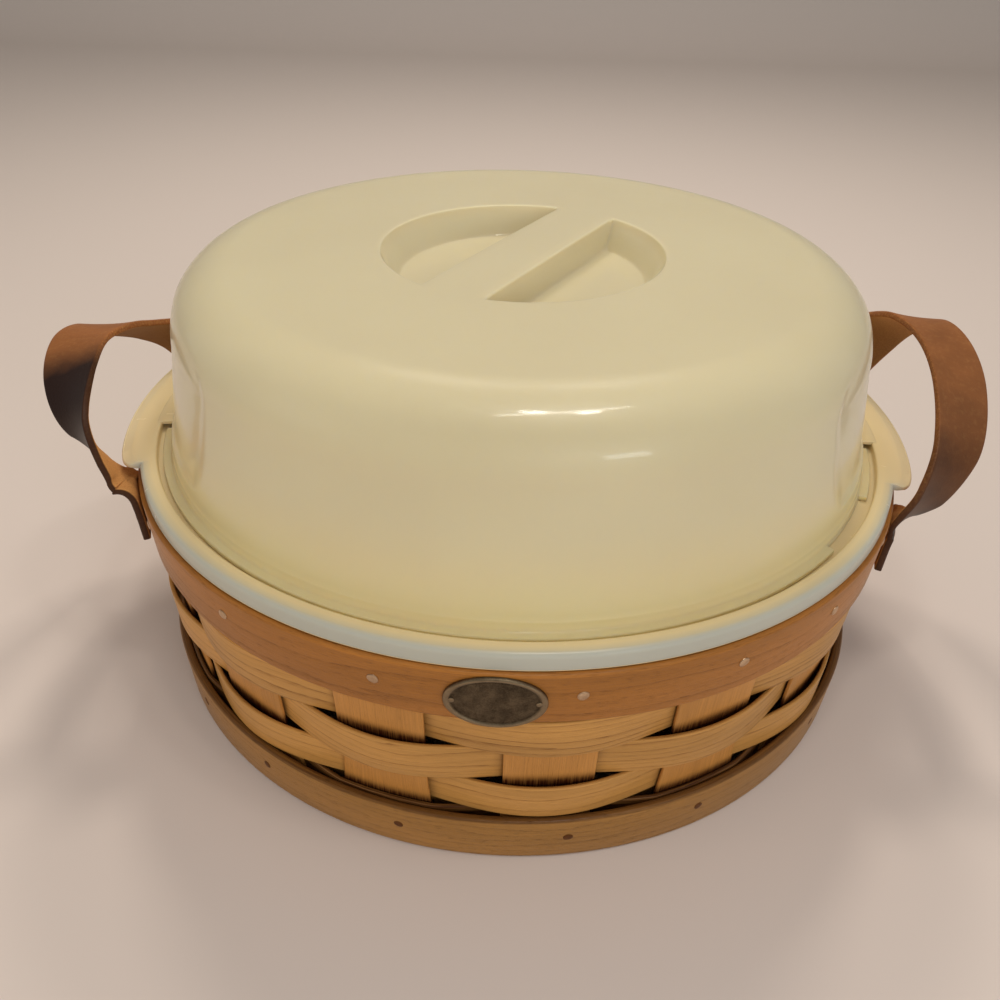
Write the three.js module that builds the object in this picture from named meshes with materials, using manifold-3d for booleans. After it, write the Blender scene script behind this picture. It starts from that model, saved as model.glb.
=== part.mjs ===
// A round picnic basket of woven ash splints with two leather loop handles. A cake tray hangs on
// the basket's rim and a domed lid stands on the tray. Millimetres, +Z up, origin on the floor on
// the basket's axis, front along -Y. Angles are degrees round the axis from the front, + to the right.
import * as THREE from "three";
import { mergeVertices } from "three/addons/utils/BufferGeometryUtils.js";
import Module from "manifold-3d";

const wasm = await Module();
wasm.setup();

// Clearances
const PLY_GAP = 0.4; // between the layers of the basket's wall
const SEAT_GAP = 0.3; // between pieces that rest on each other
const PIN_GAP = 0.3; // round the shank of a nail or rivet in its hole

// Stakes and the splints that they belong to
const STAKE_COUNT = 16;
const STAKE_PHASE = 5.2;
const STAKE_WIDTH = 34;
const STAKE_THICKNESS = 1.5;
const WALL_FLARE = 0.09; // growth of the wall's radius for each mm of height
const STAKE_TOP_DROP = 1.5; // the stakes end this far under the top of the bands
const FLOOR_HEIGHT = 5; // middle of the woven floor above the ground
const FLOOR_EASE = 10; // run in which a floor strip comes level beyond its last neighbour

// Bands, hoops and weavers
const OUTER_BAND_HEIGHT = 23.5;
const OUTER_BAND_THICKNESS = 3.5;
const INNER_BAND_HEIGHT = 21;
const INNER_BAND_THICKNESS = 3;
const BAND_EDGE = 1; // bevel along a band's outer top edge
const HOOP_HEIGHT = 22;
const OUTER_HOOP_THICKNESS = 3.6;
const INNER_HOOP_THICKNESS = 3;
const WEAVER_COUNT = 4;
const WEAVER_WIDTH = 17.6;
const LOWEST_WEAVER_WIDTH = 12; // it lies wholly behind the outer hoop
const WEAVER_THICKNESS = 1.8;
const WEAVER_BULGE = 3.6; // how far a weaver's middle swings from the stakes' middle
const WEAVER_ROW_GAP = 0.4;
const WEAVER_OVER_HOOP = 0.5; // from the hoops' top up to the lowest row in view
const ROWS_IN_VIEW = WEAVER_COUNT - 1;
const WOVEN_HEIGHT = WEAVER_OVER_HOOP + ROWS_IN_VIEW * (WEAVER_WIDTH + WEAVER_ROW_GAP);
const BAND_TOP = HOOP_HEIGHT + WOVEN_HEIGHT + OUTER_BAND_HEIGHT; // the wall is as high as its strips make it

// Nails, rivets and the badge
const NAIL_DROP = 10; // below the top of the bands
const NAIL_HEAD_RADIUS = 2.7;
const NAIL_HEAD_HEIGHT = 0.9;
const NAIL_SHANK = 1.5; // square shank
const NAIL_TAIL_GAP = 1; // between a nail's head and a strap's tail
const NAIL_DRIFT = [2.7, 0.8, -4.8, -7.2, 1.1, -0.9, 0.7, 0.8]; // degrees from each stake's middle, hand-driven
const RIVET_HEAD_RADIUS = 4;
const RIVET_HEAD_HEIGHT = 1.4;
const RIVET_SHANK = 2.4;
const RIVET_DROP = 17;
const BADGE_ANGLE = -2.1;
const BADGE_WIDTH = 35;
const BADGE_HEIGHT = 24;
const BADGE_THICKNESS = 1;
const BADGE_RAISED_EDGE = 0.5;
const BADGE_EDGE_WIDTH = 1.4;
const BADGE_DROP = 12.3; // its middle below the top of the bands
const BADGE_PIN_REACH = 14.6; // from the middle of the badge to each pin
const BADGE_PIN_HEAD_RADIUS = 1.1;
const BADGE_PIN_HEAD_HEIGHT = 0.5;
const BADGE_PIN_SHANK = 0.8;
const BADGE_PIN_LENGTH = 3;

// Handle straps
const STRAP_WIDTH = 24.5;
const STRAP_THICKNESS = 3;
const FOOT_ANGLE = 19.9; // of each strap foot from the basket's side
const TAIL_LENGTH = 27;
const FOLD_COUNT = 3; // stations from either end to where the loop bends away from its tails
const FOLD_GAP = 0.7;
const RIGHT_FOLD = [4, -3.6]; // the fold's axis: outward from the foot, and above the band's top
const LEFT_FOLD = [4.6, 0.8];
const SWING_RELIEF = [20, 16, 12, 8, 4, -2, -4, -6, -8.5, -11]; // outward turns in which the loop clears its tails

// Cake tray
const TRAY_WALL = 2.2;
const RIM_RADIUS = 165;
const RIM_OVERHANG = 2.8; // of the rim beyond the middle of the stakes' tops
const RIM_TOP_RISE = 7.5; // above the top of the bands
const RIM_WIDTH = 7;
const RIM_EDGE = 2; // bevel along the rim's outer top edge
const LEDGE_DROP = 3.9; // of the lid's ledge below the rim's top
const LEDGE_WIDTH = 7.6;
const WELL_DEPTH = 13.5; // of the tray's floor below the ledge
const WELL_DRAFT = 2.5;
const GUIDE_HEIGHT = 6; // skirt under the ledge that centres the tray inside the basket
const GUIDE_CLEARANCE = 0.6;
const STAND_RADIUS = 122;
const STAND_HEIGHT = 2;
const TAB_START = 70.5;
const TAB_REACH = 7.5; // beyond the rim
const TAB_THICKNESS = 2.4;
const TAB_CREASE = 3; // from the rim to the crease where the tab's outer part slopes down
const TAB_FALL = 1.2;
const HOOK_HALF_ANGLE = 7.5;
const HOOK_REACH = 4.9; // over the lid's flange
const HOOK_THICKNESS = 1.5;
const HOOK_SLOT_SIDE = 1.8; // degrees by which the slot in the ledge is wider than its hook
const HOOK_SLOT_WIDTH = 2.4;

// Domed lid
const LID_WALL = 2;
const LID_FLANGE_WIDTH = 4.3;
const LID_FLANGE_CLEARANCE = 2.3; // between the flange's edge and the rim
const LID_FOOT_STEP = 4.4; // height of the small step above the flange
const LID_SHOULDER_RISE = 50.6; // from the flange's top up to where the shoulder starts
const LID_DRAFT = 5.9; // how much the wall draws in up to the shoulder
const LID_SHOULDER = 26.7;
const LID_CROWN = 0.8;
const NOTCH_START = 50;
const NOTCH_END = 66;
const NOTCH_DEPTH = 3.1;
const NOTCH_SIDE_CLEARANCE = 1; // degrees between a hook and the notch that lets it pass
const PANEL_START = 50; // the lid's two side panels, sunk a little into its wall
const PANEL_BORDER = 5; // degrees in which a panel sinks to its depth
const PANEL_FOOT = 11; // above the flange's top
const PANEL_LIP = 2.5; // height in which its foot sinks
const PANEL_FADE = 13; // height in which it comes up to its upper depth
const PANEL_DEPTH_LOW = 1.3;
const PANEL_DEPTH_HIGH = 0.35;
const RECESS_RADIUS = 59;
const RECESS_DEPTH = 14.5;
const RECESS_DRAFT = 7;
const RECESS_CORNER = 4;
const BAR_WIDTH = 27.5;
const BAR_TURN = -28.6; // the grip bar's direction from +Y, counter-clockwise from above
const BAR_SHIFT = 1;
const BAR_SIDE_DRAFT = 1.2;

// Faceting
const ROUND_STEPS = 64;
const LID_STEPS = 72;
const STRAP_SPAN_STEPS = 3; // between two stations

// The handles' centre lines. Each row is one station of the strap, from the front foot to the back
// foot: mm outward from the foot, share of the way from the middle (0) to a foot (1), mm above the
// band's top, then the strap's width direction: degrees in plan from outward, and its dip.
const RIGHT_LOOP = [
  [-2.2, -1, -TAIL_LENGTH, 70.1, 0],
  [-0.7, -1, -11, 70.1, 0],
  [0.2, -1.01, -8, 67, 1],
  [4, -1.035, -4, 54, 6],
  [11.5, -1.04, 6, 35, 11],
  [22, -0.82, 21.5, 23, 9],
  [29, -0.37, 36.5, 17, 6],
  [30, 0.1, 45, 11, 6],
  [27.3, 0.48, 46, 2, 5],
  [23.3, 0.7, 40.5, -11, 6],
  [18.5, 0.93, 29.5, -26, 7],
  [12.2, 1.04, 15.5, -43, 8],
  [7.5, 1.045, 5, -56, 7],
  [4, 1.035, -3.2, -64, 4],
  [0.2, 1.01, -8, -69, 0],
  [-0.7, 1, -11, -70.1, 0],
  [-2.2, 1, -TAIL_LENGTH, -70.1, 0],
];
const LEFT_LOOP = [
  [-2.2, -1, -TAIL_LENGTH, 70.1, 0],
  [-0.2, -1, -6, 70.1, 0],
  [1.3, -1, -2.2, 69.5, 0],
  [4.6, -0.985, 0.8, 68.5, 0],
  [12.2, -0.955, 9.5, 61, 2],
  [20.5, -0.86, 21.5, 46, 5],
  [29, -0.55, 33.6, 33, 4],
  [33.2, -0.12, 40, 20, -1],
  [31.5, 0.2, 38, 6, 2],
  [26.8, 0.44, 31, -12, 8],
  [19.8, 0.8, 21.5, -32, 12],
  [12.5, 1.02, 10.5, -48, 8],
  [4.6, 1.02, 0.8, -64, 2],
  [1.3, 1.005, -2.2, -69.5, 0],
  [-0.2, 1, -6, -70.1, 0],
  [-2.2, 1, -TAIL_LENGTH, -70.1, 0],
];

const MATERIALS = {
  splint: new THREE.MeshStandardMaterial({ color: 0xc59a63, roughness: 0.55, metalness: 0 }),
  band: new THREE.MeshStandardMaterial({ color: 0xb9854f, roughness: 0.5, metalness: 0 }),
  leather: new THREE.MeshStandardMaterial({ color: 0x8a5a3a, roughness: 0.6, metalness: 0 }),
  nail: new THREE.MeshStandardMaterial({ color: 0xc79a84, roughness: 0.4, metalness: 1 }),
  bronze: new THREE.MeshStandardMaterial({ color: 0x6b5a44, roughness: 0.45, metalness: 1 }),
  tray: new THREE.MeshStandardMaterial({ color: 0xe3d3a6, roughness: 0.35, metalness: 0 }),
  lid: new THREE.MeshStandardMaterial({ color: 0xd8cba6, roughness: 0.25, metalness: 0 }),
};

const radians = THREE.MathUtils.degToRad;

function polar(radius, degrees, z) {
  const a = radians(degrees);
  return new THREE.Vector3(radius * Math.sin(a), -radius * Math.cos(a), z);
}

// Radius of the stakes' middle surface at a height: the basket is made to the size of its tray.
function stakeRadius(z) {
  return RIM_RADIUS - RIM_OVERHANG + WALL_FLARE * (z - BAND_TOP);
}

function stakeAngle(index) {
  return STAKE_PHASE + (index * 360) / STAKE_COUNT;
}

// Closed triangle mesh through a list of sections, each a loop of as many points. The ends are
// joined to each other, or closed by fans.
function skin(sections, closed) {
  const count = sections[0].length;
  const positions = sections.flat().flatMap((p) => [p.x, p.y, p.z]);
  const index = [];
  const spans = closed ? sections.length : sections.length - 1;
  for (let s = 0; s < spans; s++) {
    const here = s * count;
    const next = ((s + 1) % sections.length) * count;
    for (let i = 0; i < count; i++) {
      const j = (i + 1) % count;
      index.push(here + i, next + i, next + j, here + i, next + j, here + j);
    }
  }
  if (!closed) {
    const last = (sections.length - 1) * count;
    for (let i = 1; i < count - 1; i++) index.push(0, i, i + 1, last, last + i + 1, last + i);
  }
  const geometry = new THREE.BufferGeometry();
  geometry.setAttribute("position", new THREE.Float32BufferAttribute(positions, 3));
  geometry.setIndex(index);
  return geometry;
}

// A section of [radius, z] points carried round the axis from one angle to another.
function sweepRound(sectionAt, from, to, steps, closed) {
  const sections = [];
  const count = closed ? steps : steps + 1;
  for (let s = 0; s < count; s++) {
    const degrees = from + ((to - from) * s) / steps;
    sections.push(sectionAt(degrees).map(([radius, z]) => polar(radius, degrees, z)));
  }
  return skin(sections, closed);
}

// A closed profile of [radius, z] points turned all the way round the axis.
function turned(profile) {
  const points = profile.map(([radius, z]) => new THREE.Vector2(radius, z));
  if (profile[0][0] > 0) points.push(points[0].clone());
  return new THREE.LatheGeometry(points, ROUND_STEPS).rotateX(Math.PI / 2);
}

// A four-sided layer of the wall between two heights, leaning with the stakes.
function wallSection(low, high, inner, outer) {
  return [
    [stakeRadius(low) + inner, low],
    [stakeRadius(low) + outer, low],
    [stakeRadius(high) + outer, high],
    [stakeRadius(high) + inner, high],
  ];
}

// Turns a geometry into a solid with its faces pointing out.
function solid(geometry) {
  const bare = new THREE.BufferGeometry();
  bare.setAttribute("position", geometry.getAttribute("position"));
  if (geometry.index) bare.setIndex(geometry.index);
  const merged = mergeVertices(bare, 1e-4);
  const corners = merged.index.array;
  const triangles = [];
  for (let i = 0; i < corners.length; i += 3) {
    const [a, b, c] = [corners[i], corners[i + 1], corners[i + 2]];
    if (a !== b && b !== c && c !== a) triangles.push([a, b, c]);
  }
  const position = merged.attributes.position;
  const at = (i) => new THREE.Vector3().fromBufferAttribute(position, i);
  const volume = triangles.reduce((sum, [a, b, c]) => sum + at(a).dot(at(b).cross(at(c))), 0);
  const outward = volume < 0 ? triangles.map(([a, b, c]) => [a, c, b]) : triangles;
  return new wasm.Manifold(
    new wasm.Mesh({
      numProp: 3,
      vertProperties: new Float32Array(position.array),
      triVerts: new Uint32Array(outward.flat()),
    }),
  );
}

function geometryOf(body) {
  const mesh = body.getMesh();
  const geometry = new THREE.BufferGeometry();
  geometry.setAttribute("position", new THREE.BufferAttribute(mesh.vertProperties.slice(), 3));
  geometry.setIndex(new THREE.BufferAttribute(mesh.triVerts.slice(), 1));
  geometry.computeVertexNormals();
  return geometry;
}

const basket = new THREE.Group();
const leftHandle = new THREE.Group();
const rightHandle = new THREE.Group();
const tray = new THREE.Group();
const lid = new THREE.Group();

function add(group, name, material, body) {
  const mesh = new THREE.Mesh(geometryOf(body), material.clone());
  mesh.name = name;
  group.add(mesh);
}

// Nails, rivets and pins. A fastener's own axis is +Z out of the wall, with its head's seat at z = 0.
function fastener(headRadius, headHeight, shank, length) {
  const head = [
    [0, headHeight],
    [headRadius * 0.6, headHeight * 0.85],
    [headRadius, headHeight * 0.25],
    [headRadius, 0],
    [0, 0],
  ].map(([x, y]) => new THREE.Vector2(x, y));
  const cap = new THREE.LatheGeometry(head, 8).rotateX(Math.PI / 2);
  const overlap = headHeight * 0.5;
  const shaft = new THREE.BoxGeometry(shank, shank, length + overlap);
  shaft.translate(0, 0, (overlap - length) / 2);
  return solid(cap).add(solid(shaft));
}

function drill(shank, length) {
  const side = shank + 2 * PIN_GAP;
  const cutter = new THREE.BoxGeometry(side, side, 2 * length);
  return solid(cutter);
}

// Places a body made along +Z on the wall, square to the leaning face at an angle and height.
function onWall(body, radius, degrees, z) {
  const out = polar(1, degrees, -WALL_FLARE).normalize();
  const across = polar(1, degrees + 90, 0);
  const up = new THREE.Vector3().crossVectors(out, across);
  const matrix = new THREE.Matrix4().makeBasis(across, up, out).setPosition(polar(radius, degrees, z));
  return body.transform(matrix.toArray());
}

// The wall's layers, as distances from the stakes' middle surface
const STAKE_FACE = STAKE_THICKNESS / 2;
const FLOOR_WAVE = STAKE_FACE + PLY_GAP / 2; // swing of a floor strip over or under a neighbour
const BAND_INSIDE = STAKE_FACE + PLY_GAP;
const BAND_OUTSIDE = BAND_INSIDE + OUTER_BAND_THICKNESS;
const WEAVER_TIGHT = STAKE_FACE + PLY_GAP + WEAVER_THICKNESS / 2;
const HOOP_INSIDE = WEAVER_TIGHT + WEAVER_THICKNESS / 2 + PLY_GAP;
const HOOP_OUTSIDE = HOOP_INSIDE + OUTER_HOOP_THICKNESS;
const OUTER_BAND_BOTTOM = BAND_TOP - OUTER_BAND_HEIGHT;

// Bands at the top, with a bevelled outer top edge
function outerBand() {
  const section = () => [
    [stakeRadius(OUTER_BAND_BOTTOM) + BAND_INSIDE, OUTER_BAND_BOTTOM],
    [stakeRadius(OUTER_BAND_BOTTOM) + BAND_OUTSIDE, OUTER_BAND_BOTTOM],
    [stakeRadius(BAND_TOP - BAND_EDGE) + BAND_OUTSIDE, BAND_TOP - BAND_EDGE],
    [stakeRadius(BAND_TOP) + BAND_OUTSIDE - BAND_EDGE, BAND_TOP],
    [stakeRadius(BAND_TOP) + BAND_INSIDE, BAND_TOP],
  ];
  return solid(sweepRound(section, 0, 360, ROUND_STEPS, true));
}

function innerBand() {
  const low = BAND_TOP - INNER_BAND_HEIGHT;
  const section = () => wallSection(low, BAND_TOP, -BAND_INSIDE - INNER_BAND_THICKNESS, -BAND_INSIDE);
  return solid(sweepRound(section, 0, 360, ROUND_STEPS, true));
}

// Hoops at the bottom. They clamp the lowest weaver, and the outer one stands on the ground.
const FLOOR_TOP = FLOOR_HEIGHT + FLOOR_WAVE + STAKE_FACE;
function outerHoop() {
  const section = () => wallSection(0, HOOP_HEIGHT, HOOP_INSIDE, HOOP_OUTSIDE);
  return solid(sweepRound(section, 0, 360, ROUND_STEPS, true));
}

function innerHoop() {
  const low = FLOOR_TOP + PLY_GAP;
  const section = () =>
    wallSection(low, HOOP_HEIGHT, -HOOP_INSIDE - INNER_HOOP_THICKNESS, -HOOP_INSIDE);
  return solid(sweepRound(section, 0, 360, ROUND_STEPS, true));
}

// Weavers: row 0 is the top one. Odd rows pass inside where even rows pass outside. The lowest row
// is pressed flat against the stakes by the hoops.
function weaver(row) {
  const high = OUTER_BAND_BOTTOM - WEAVER_ROW_GAP - row * (WEAVER_WIDTH + WEAVER_ROW_GAP);
  const lowest = row === WEAVER_COUNT - 1;
  const low = high - (lowest ? LOWEST_WEAVER_WIDTH : WEAVER_WIDTH);
  const limit = lowest ? WEAVER_TIGHT : WEAVER_BULGE;
  const side = row % 2 === 0 ? 1 : -1;
  const section = (degrees) => {
    const swing = Math.cos(radians(((degrees - STAKE_PHASE) * STAKE_COUNT) / 2));
    const offset = side * THREE.MathUtils.clamp(WEAVER_BULGE * swing, -limit, limit);
    const half = WEAVER_THICKNESS / 2;
    return wallSection(low, high, offset - half, offset + half);
  };
  return solid(sweepRound(section, STAKE_PHASE, STAKE_PHASE + 360, ROUND_STEPS, true));
}

// A splint is one long strip. It crosses the floor over and under its neighbours, and its turned-up
// ends are two opposite stakes. Splints that run front to back cross those that run side to side.
const FLOOR_EDGE = stakeRadius(FLOOR_HEIGHT);
const PITCH = 360 / STAKE_COUNT;
const LENGTHWISE = [-2, -1, 0, 1, 2];
const CROSSWISE = [3, 4, 5];
const LENGTHWISE_PLACES = LENGTHWISE.map((k) => FLOOR_EDGE * Math.sin(radians(k * PITCH)));
const CROSSWISE_PLACES = CROSSWISE.map((k) => -FLOOR_EDGE * Math.cos(radians(k * PITCH)));

// The floor strip at a distance from the axis, trimmed to the wall's circle. It lies flat on one
// neighbour and under the next, and comes level beyond the last one.
function floorStrip(place, crossings, firstSide, lengthwise) {
  const end = FLOOR_EDGE + STAKE_THICKNESS;
  const half = STAKE_WIDTH / 2 + PLY_GAP;
  const sorted = [...crossings].sort((a, b) => a - b);
  const stops = [[-end, 0], [sorted[0] - half - FLOOR_EASE, 0]];
  sorted.forEach((crossing, i) => {
    const level = FLOOR_WAVE * firstSide * (i % 2 === 0 ? 1 : -1);
    stops.push([crossing - half, level], [crossing + half, level]);
  });
  stops.push([sorted[sorted.length - 1] + half + FLOOR_EASE, 0], [end, 0]);
  const sections = stops.map(([run, level]) => {
    const corners = [
      [-STAKE_WIDTH / 2, -STAKE_FACE],
      [STAKE_WIDTH / 2, -STAKE_FACE],
      [STAKE_WIDTH / 2, STAKE_FACE],
      [-STAKE_WIDTH / 2, STAKE_FACE],
    ];
    return corners.map(([across, up]) => {
      const [x, y] = lengthwise ? [place + across, run] : [run, place + across];
      return new THREE.Vector3(x, y, FLOOR_HEIGHT + level + up);
    });
  });
  const edge = FLOOR_EDGE + STAKE_FACE;
  const trim = new THREE.CylinderGeometry(edge, edge, 4 * FLOOR_HEIGHT, ROUND_STEPS);
  return solid(skin(sections, false)).intersect(solid(trim.rotateX(Math.PI / 2)));
}

// One stake of the wall, standing on the floor's edge at an angle.
function stake(degrees) {
  const half = THREE.MathUtils.radToDeg(STAKE_WIDTH / 2 / stakeRadius(BAND_TOP / 2));
  const low = FLOOR_HEIGHT - STAKE_FACE;
  const section = () => wallSection(low, BAND_TOP - STAKE_TOP_DROP, -STAKE_FACE, STAKE_FACE);
  return solid(sweepRound(section, degrees - half, degrees + half, 3, false));
}

function splint(strip, angles) {
  let body = strip;
  for (const degrees of angles) body = body.add(stake(degrees - STAKE_PHASE));
  return solid(geometryOf(body).rotateZ(radians(STAKE_PHASE)));
}

// Top nails, one through each stake
const NAIL_HEIGHT = BAND_TOP - NAIL_DROP;
const NAIL_SEAT = stakeRadius(NAIL_HEIGHT) + BAND_OUTSIDE + SEAT_GAP;
const NAIL_LENGTH = SEAT_GAP + BAND_OUTSIDE + BAND_INSIDE + INNER_BAND_THICKNESS;

// A nail whose place a strap's tail would cover is driven just beside the tail.
function besideTails(degrees) {
  const clear = STRAP_WIDTH / 2 + NAIL_HEAD_RADIUS + NAIL_TAIL_GAP;
  const least = THREE.MathUtils.radToDeg(clear / NAIL_SEAT);
  for (const side of [90, 270]) {
    for (const tail of [side - FOOT_ANGLE, side + FOOT_ANGLE]) {
      const off = degrees - tail;
      if (Math.abs(off) < least) return tail + Math.sign(off) * least;
    }
  }
  return degrees;
}

const nails = [];
for (let k = 0; k < STAKE_COUNT; k++) {
  const degrees = besideTails(stakeAngle(k) + NAIL_DRIFT[k % NAIL_DRIFT.length]);
  const place = (body) => onWall(body, NAIL_SEAT, degrees, NAIL_HEIGHT);
  nails.push({
    body: place(fastener(NAIL_HEAD_RADIUS, NAIL_HEAD_HEIGHT, NAIL_SHANK, NAIL_LENGTH)),
    hole: place(drill(NAIL_SHANK, NAIL_LENGTH)),
    stake: k,
  });
}

// Handle straps: one strap each, parted at the folds into a loop that swings and two tails that
// stay riveted to the band.
const FOOT_RADIUS = stakeRadius(BAND_TOP) + BAND_OUTSIDE + SEAT_GAP + STRAP_THICKNESS / 2;
const FOOT_OUT = FOOT_RADIUS * Math.cos(radians(FOOT_ANGLE));
const FOOT_ALONG = FOOT_RADIUS * Math.sin(radians(FOOT_ANGLE));
function strapLine(stations) {
  return stations.map(
    ([out, along, up]) => new THREE.Vector3(FOOT_OUT + out, FOOT_ALONG * along, BAND_TOP + up),
  );
}

// The stretch of a strap between two places along it, counted in stations, made fuller by grow.
function strap(stations, from, to, grow = 0) {
  const widths = stations.map(([, , , turn, dip]) => {
    const [a, d] = [radians(turn), radians(dip)];
    return new THREE.Vector3(Math.cos(a) * Math.cos(d), Math.sin(a) * Math.cos(d), -Math.sin(d));
  });
  const line = new THREE.CatmullRomCurve3(strapLine(stations));
  const across = new THREE.CatmullRomCurve3(widths);
  const steps = Math.round((to - from) * STRAP_SPAN_STEPS);
  const sections = [];
  for (let s = 0; s <= steps; s++) {
    const u = (from + ((to - from) * s) / steps) / (stations.length - 1);
    const tangent = line.getTangent(u);
    const width = across.getPoint(u);
    width.addScaledVector(tangent, -width.dot(tangent)).setLength((STRAP_WIDTH + grow) / 2);
    const face = new THREE.Vector3().crossVectors(tangent, width);
    face.setLength((STRAP_THICKNESS + grow) / 2);
    const middle = line.getPoint(u);
    const corner = (w, f) => middle.clone().addScaledVector(width, w).addScaledVector(face, f);
    sections.push([corner(-1, -1), corner(1, -1), corner(1, 1), corner(-1, 1)]);
  }
  return solid(skin(sections, false));
}

function mirrored(body, side) {
  return side > 0 ? body : solid(geometryOf(body).scale(-1, 1, 1));
}

// A body of the right handle swung outward about the fold's axis.
function swung(body, [out, up], degrees) {
  const [x, z] = [FOOT_OUT + out, BAND_TOP + up];
  const turn = geometryOf(body).translate(-x, 0, -z).rotateY(radians(degrees));
  return solid(turn.translate(x, 0, z));
}

function handle(side, stations, fold, group) {
  const name = side > 0 ? "right" : "left";
  const line = strapLine(stations);
  const last = stations.length - 1;
  const frontGap = FOLD_GAP / line[FOLD_COUNT].distanceTo(line[FOLD_COUNT + 1]);
  const backGap = FOLD_GAP / line[last - FOLD_COUNT].distanceTo(line[last - FOLD_COUNT - 1]);
  const tails = [strap(stations, 0, FOLD_COUNT), strap(stations, last - FOLD_COUNT, last)];
  let loop = strap(stations, FOLD_COUNT + frontGap, last - FOLD_COUNT - backGap);
  const sweptEnds = [
    strap(stations, FOLD_COUNT - 1, FOLD_COUNT + frontGap / 2, FOLD_GAP),
    strap(stations, last - FOLD_COUNT - backGap / 2, last - FOLD_COUNT + 1, FOLD_GAP),
  ];
  for (const swing of SWING_RELIEF) {
    for (const end of sweptEnds) loop = loop.subtract(swung(end, fold, -swing));
  }
  // The relief can leave crumbs at the folds.
  loop = loop.decompose().sort((a, b) => b.volume() - a.volume())[0];
  add(group, name + "_handle_loop", MATERIALS.leather, mirrored(loop, side));
  tails.forEach((whole, i) => {
    const near = i === 0 ? "front" : "back";
    const degrees = side * (90 + (i === 0 ? -FOOT_ANGLE : FOOT_ANGLE));
    const z = BAND_TOP - RIVET_DROP;
    const seat = stakeRadius(z) + BAND_OUTSIDE + 3 * SEAT_GAP + STRAP_THICKNESS;
    const length = 3 * SEAT_GAP + STRAP_THICKNESS + OUTER_BAND_THICKNESS - PLY_GAP;
    const rivet = fastener(RIVET_HEAD_RADIUS, RIVET_HEAD_HEIGHT, RIVET_SHANK, length);
    const hole = onWall(drill(RIVET_SHANK, length), seat, degrees, z);
    const tail = mirrored(whole, side).subtract(hole);
    add(basket, `${name}_handle_${near}_tail`, MATERIALS.leather, tail);
    add(basket, `${name}_${near}_rivet`, MATERIALS.bronze, onWall(rivet, seat, degrees, z));
    holesInBand.push(hole);
  });
}

// Badge: a curved oval plate with a raised edge, held by two pins
const BADGE_HEIGHT_UP = BAND_TOP - BADGE_DROP;
function badgePlate() {
  const centreRadius = stakeRadius(BADGE_HEIGHT_UP) + BAND_OUTSIDE + SEAT_GAP;
  const inset = 1 - (2 * BADGE_EDGE_WIDTH) / BADGE_HEIGHT;
  const steps = 24;
  const rings = [
    [0.01, BADGE_THICKNESS],
    [inset, BADGE_THICKNESS],
    [inset + 0.03, BADGE_THICKNESS + BADGE_RAISED_EDGE],
    [1, BADGE_THICKNESS + BADGE_RAISED_EDGE],
    [1, 0],
    [0.01, 0],
  ];
  const sections = [];
  for (let s = 0; s < steps; s++) {
    const a = (s * 2 * Math.PI) / steps;
    sections.push(
      rings.map(([share, height]) => {
        const across = (share * BADGE_WIDTH * Math.cos(a)) / 2;
        const up = (share * BADGE_HEIGHT * Math.sin(a)) / 2;
        const degrees = BADGE_ANGLE + THREE.MathUtils.radToDeg(across / centreRadius);
        return polar(centreRadius + WALL_FLARE * up + height, degrees, BADGE_HEIGHT_UP + up);
      }),
    );
  }
  return solid(skin(sections, true));
}

// Tray profile, from the middle of its floor out to the rim and back underneath
const RIM_TOP = BAND_TOP + RIM_TOP_RISE;
const LEDGE_TOP = RIM_TOP - LEDGE_DROP;
const LEDGE_OUTSIDE = RIM_RADIUS - RIM_WIDTH;
const WELL_RADIUS = LEDGE_OUTSIDE - LEDGE_WIDTH;
const TRAY_FLOOR = LEDGE_TOP - WELL_DEPTH;
const GUIDE_RADIUS = stakeRadius(BAND_TOP) - BAND_INSIDE - INNER_BAND_THICKNESS - GUIDE_CLEARANCE;
function trayShell() {
  const seat = BAND_TOP + SEAT_GAP;
  const under = LEDGE_TOP - TRAY_WALL;
  const belowFloor = TRAY_FLOOR - TRAY_WALL;
  return solid(
    turned([
      [0, TRAY_FLOOR],
      [WELL_RADIUS - WELL_DRAFT, TRAY_FLOOR],
      [WELL_RADIUS, LEDGE_TOP],
      [LEDGE_OUTSIDE, LEDGE_TOP],
      [LEDGE_OUTSIDE, RIM_TOP],
      [RIM_RADIUS - RIM_EDGE, RIM_TOP],
      [RIM_RADIUS, RIM_TOP - RIM_EDGE],
      [RIM_RADIUS, seat],
      [RIM_RADIUS - TRAY_WALL, seat],
      [RIM_RADIUS - TRAY_WALL, RIM_TOP - TRAY_WALL],
      [LEDGE_OUTSIDE + TRAY_WALL, RIM_TOP - TRAY_WALL],
      [LEDGE_OUTSIDE + TRAY_WALL, under],
      [GUIDE_RADIUS, under],
      [GUIDE_RADIUS, under - GUIDE_HEIGHT],
      [GUIDE_RADIUS - TRAY_WALL, under - GUIDE_HEIGHT],
      [GUIDE_RADIUS - TRAY_WALL, under],
      [WELL_RADIUS + TRAY_WALL, under],
      [WELL_RADIUS + TRAY_WALL - WELL_DRAFT, belowFloor],
      [STAND_RADIUS + TRAY_WALL, belowFloor],
      [STAND_RADIUS + TRAY_WALL, belowFloor - STAND_HEIGHT],
      [STAND_RADIUS, belowFloor - STAND_HEIGHT],
      [STAND_RADIUS, belowFloor],
      [0, belowFloor],
    ]),
  );
}

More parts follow.
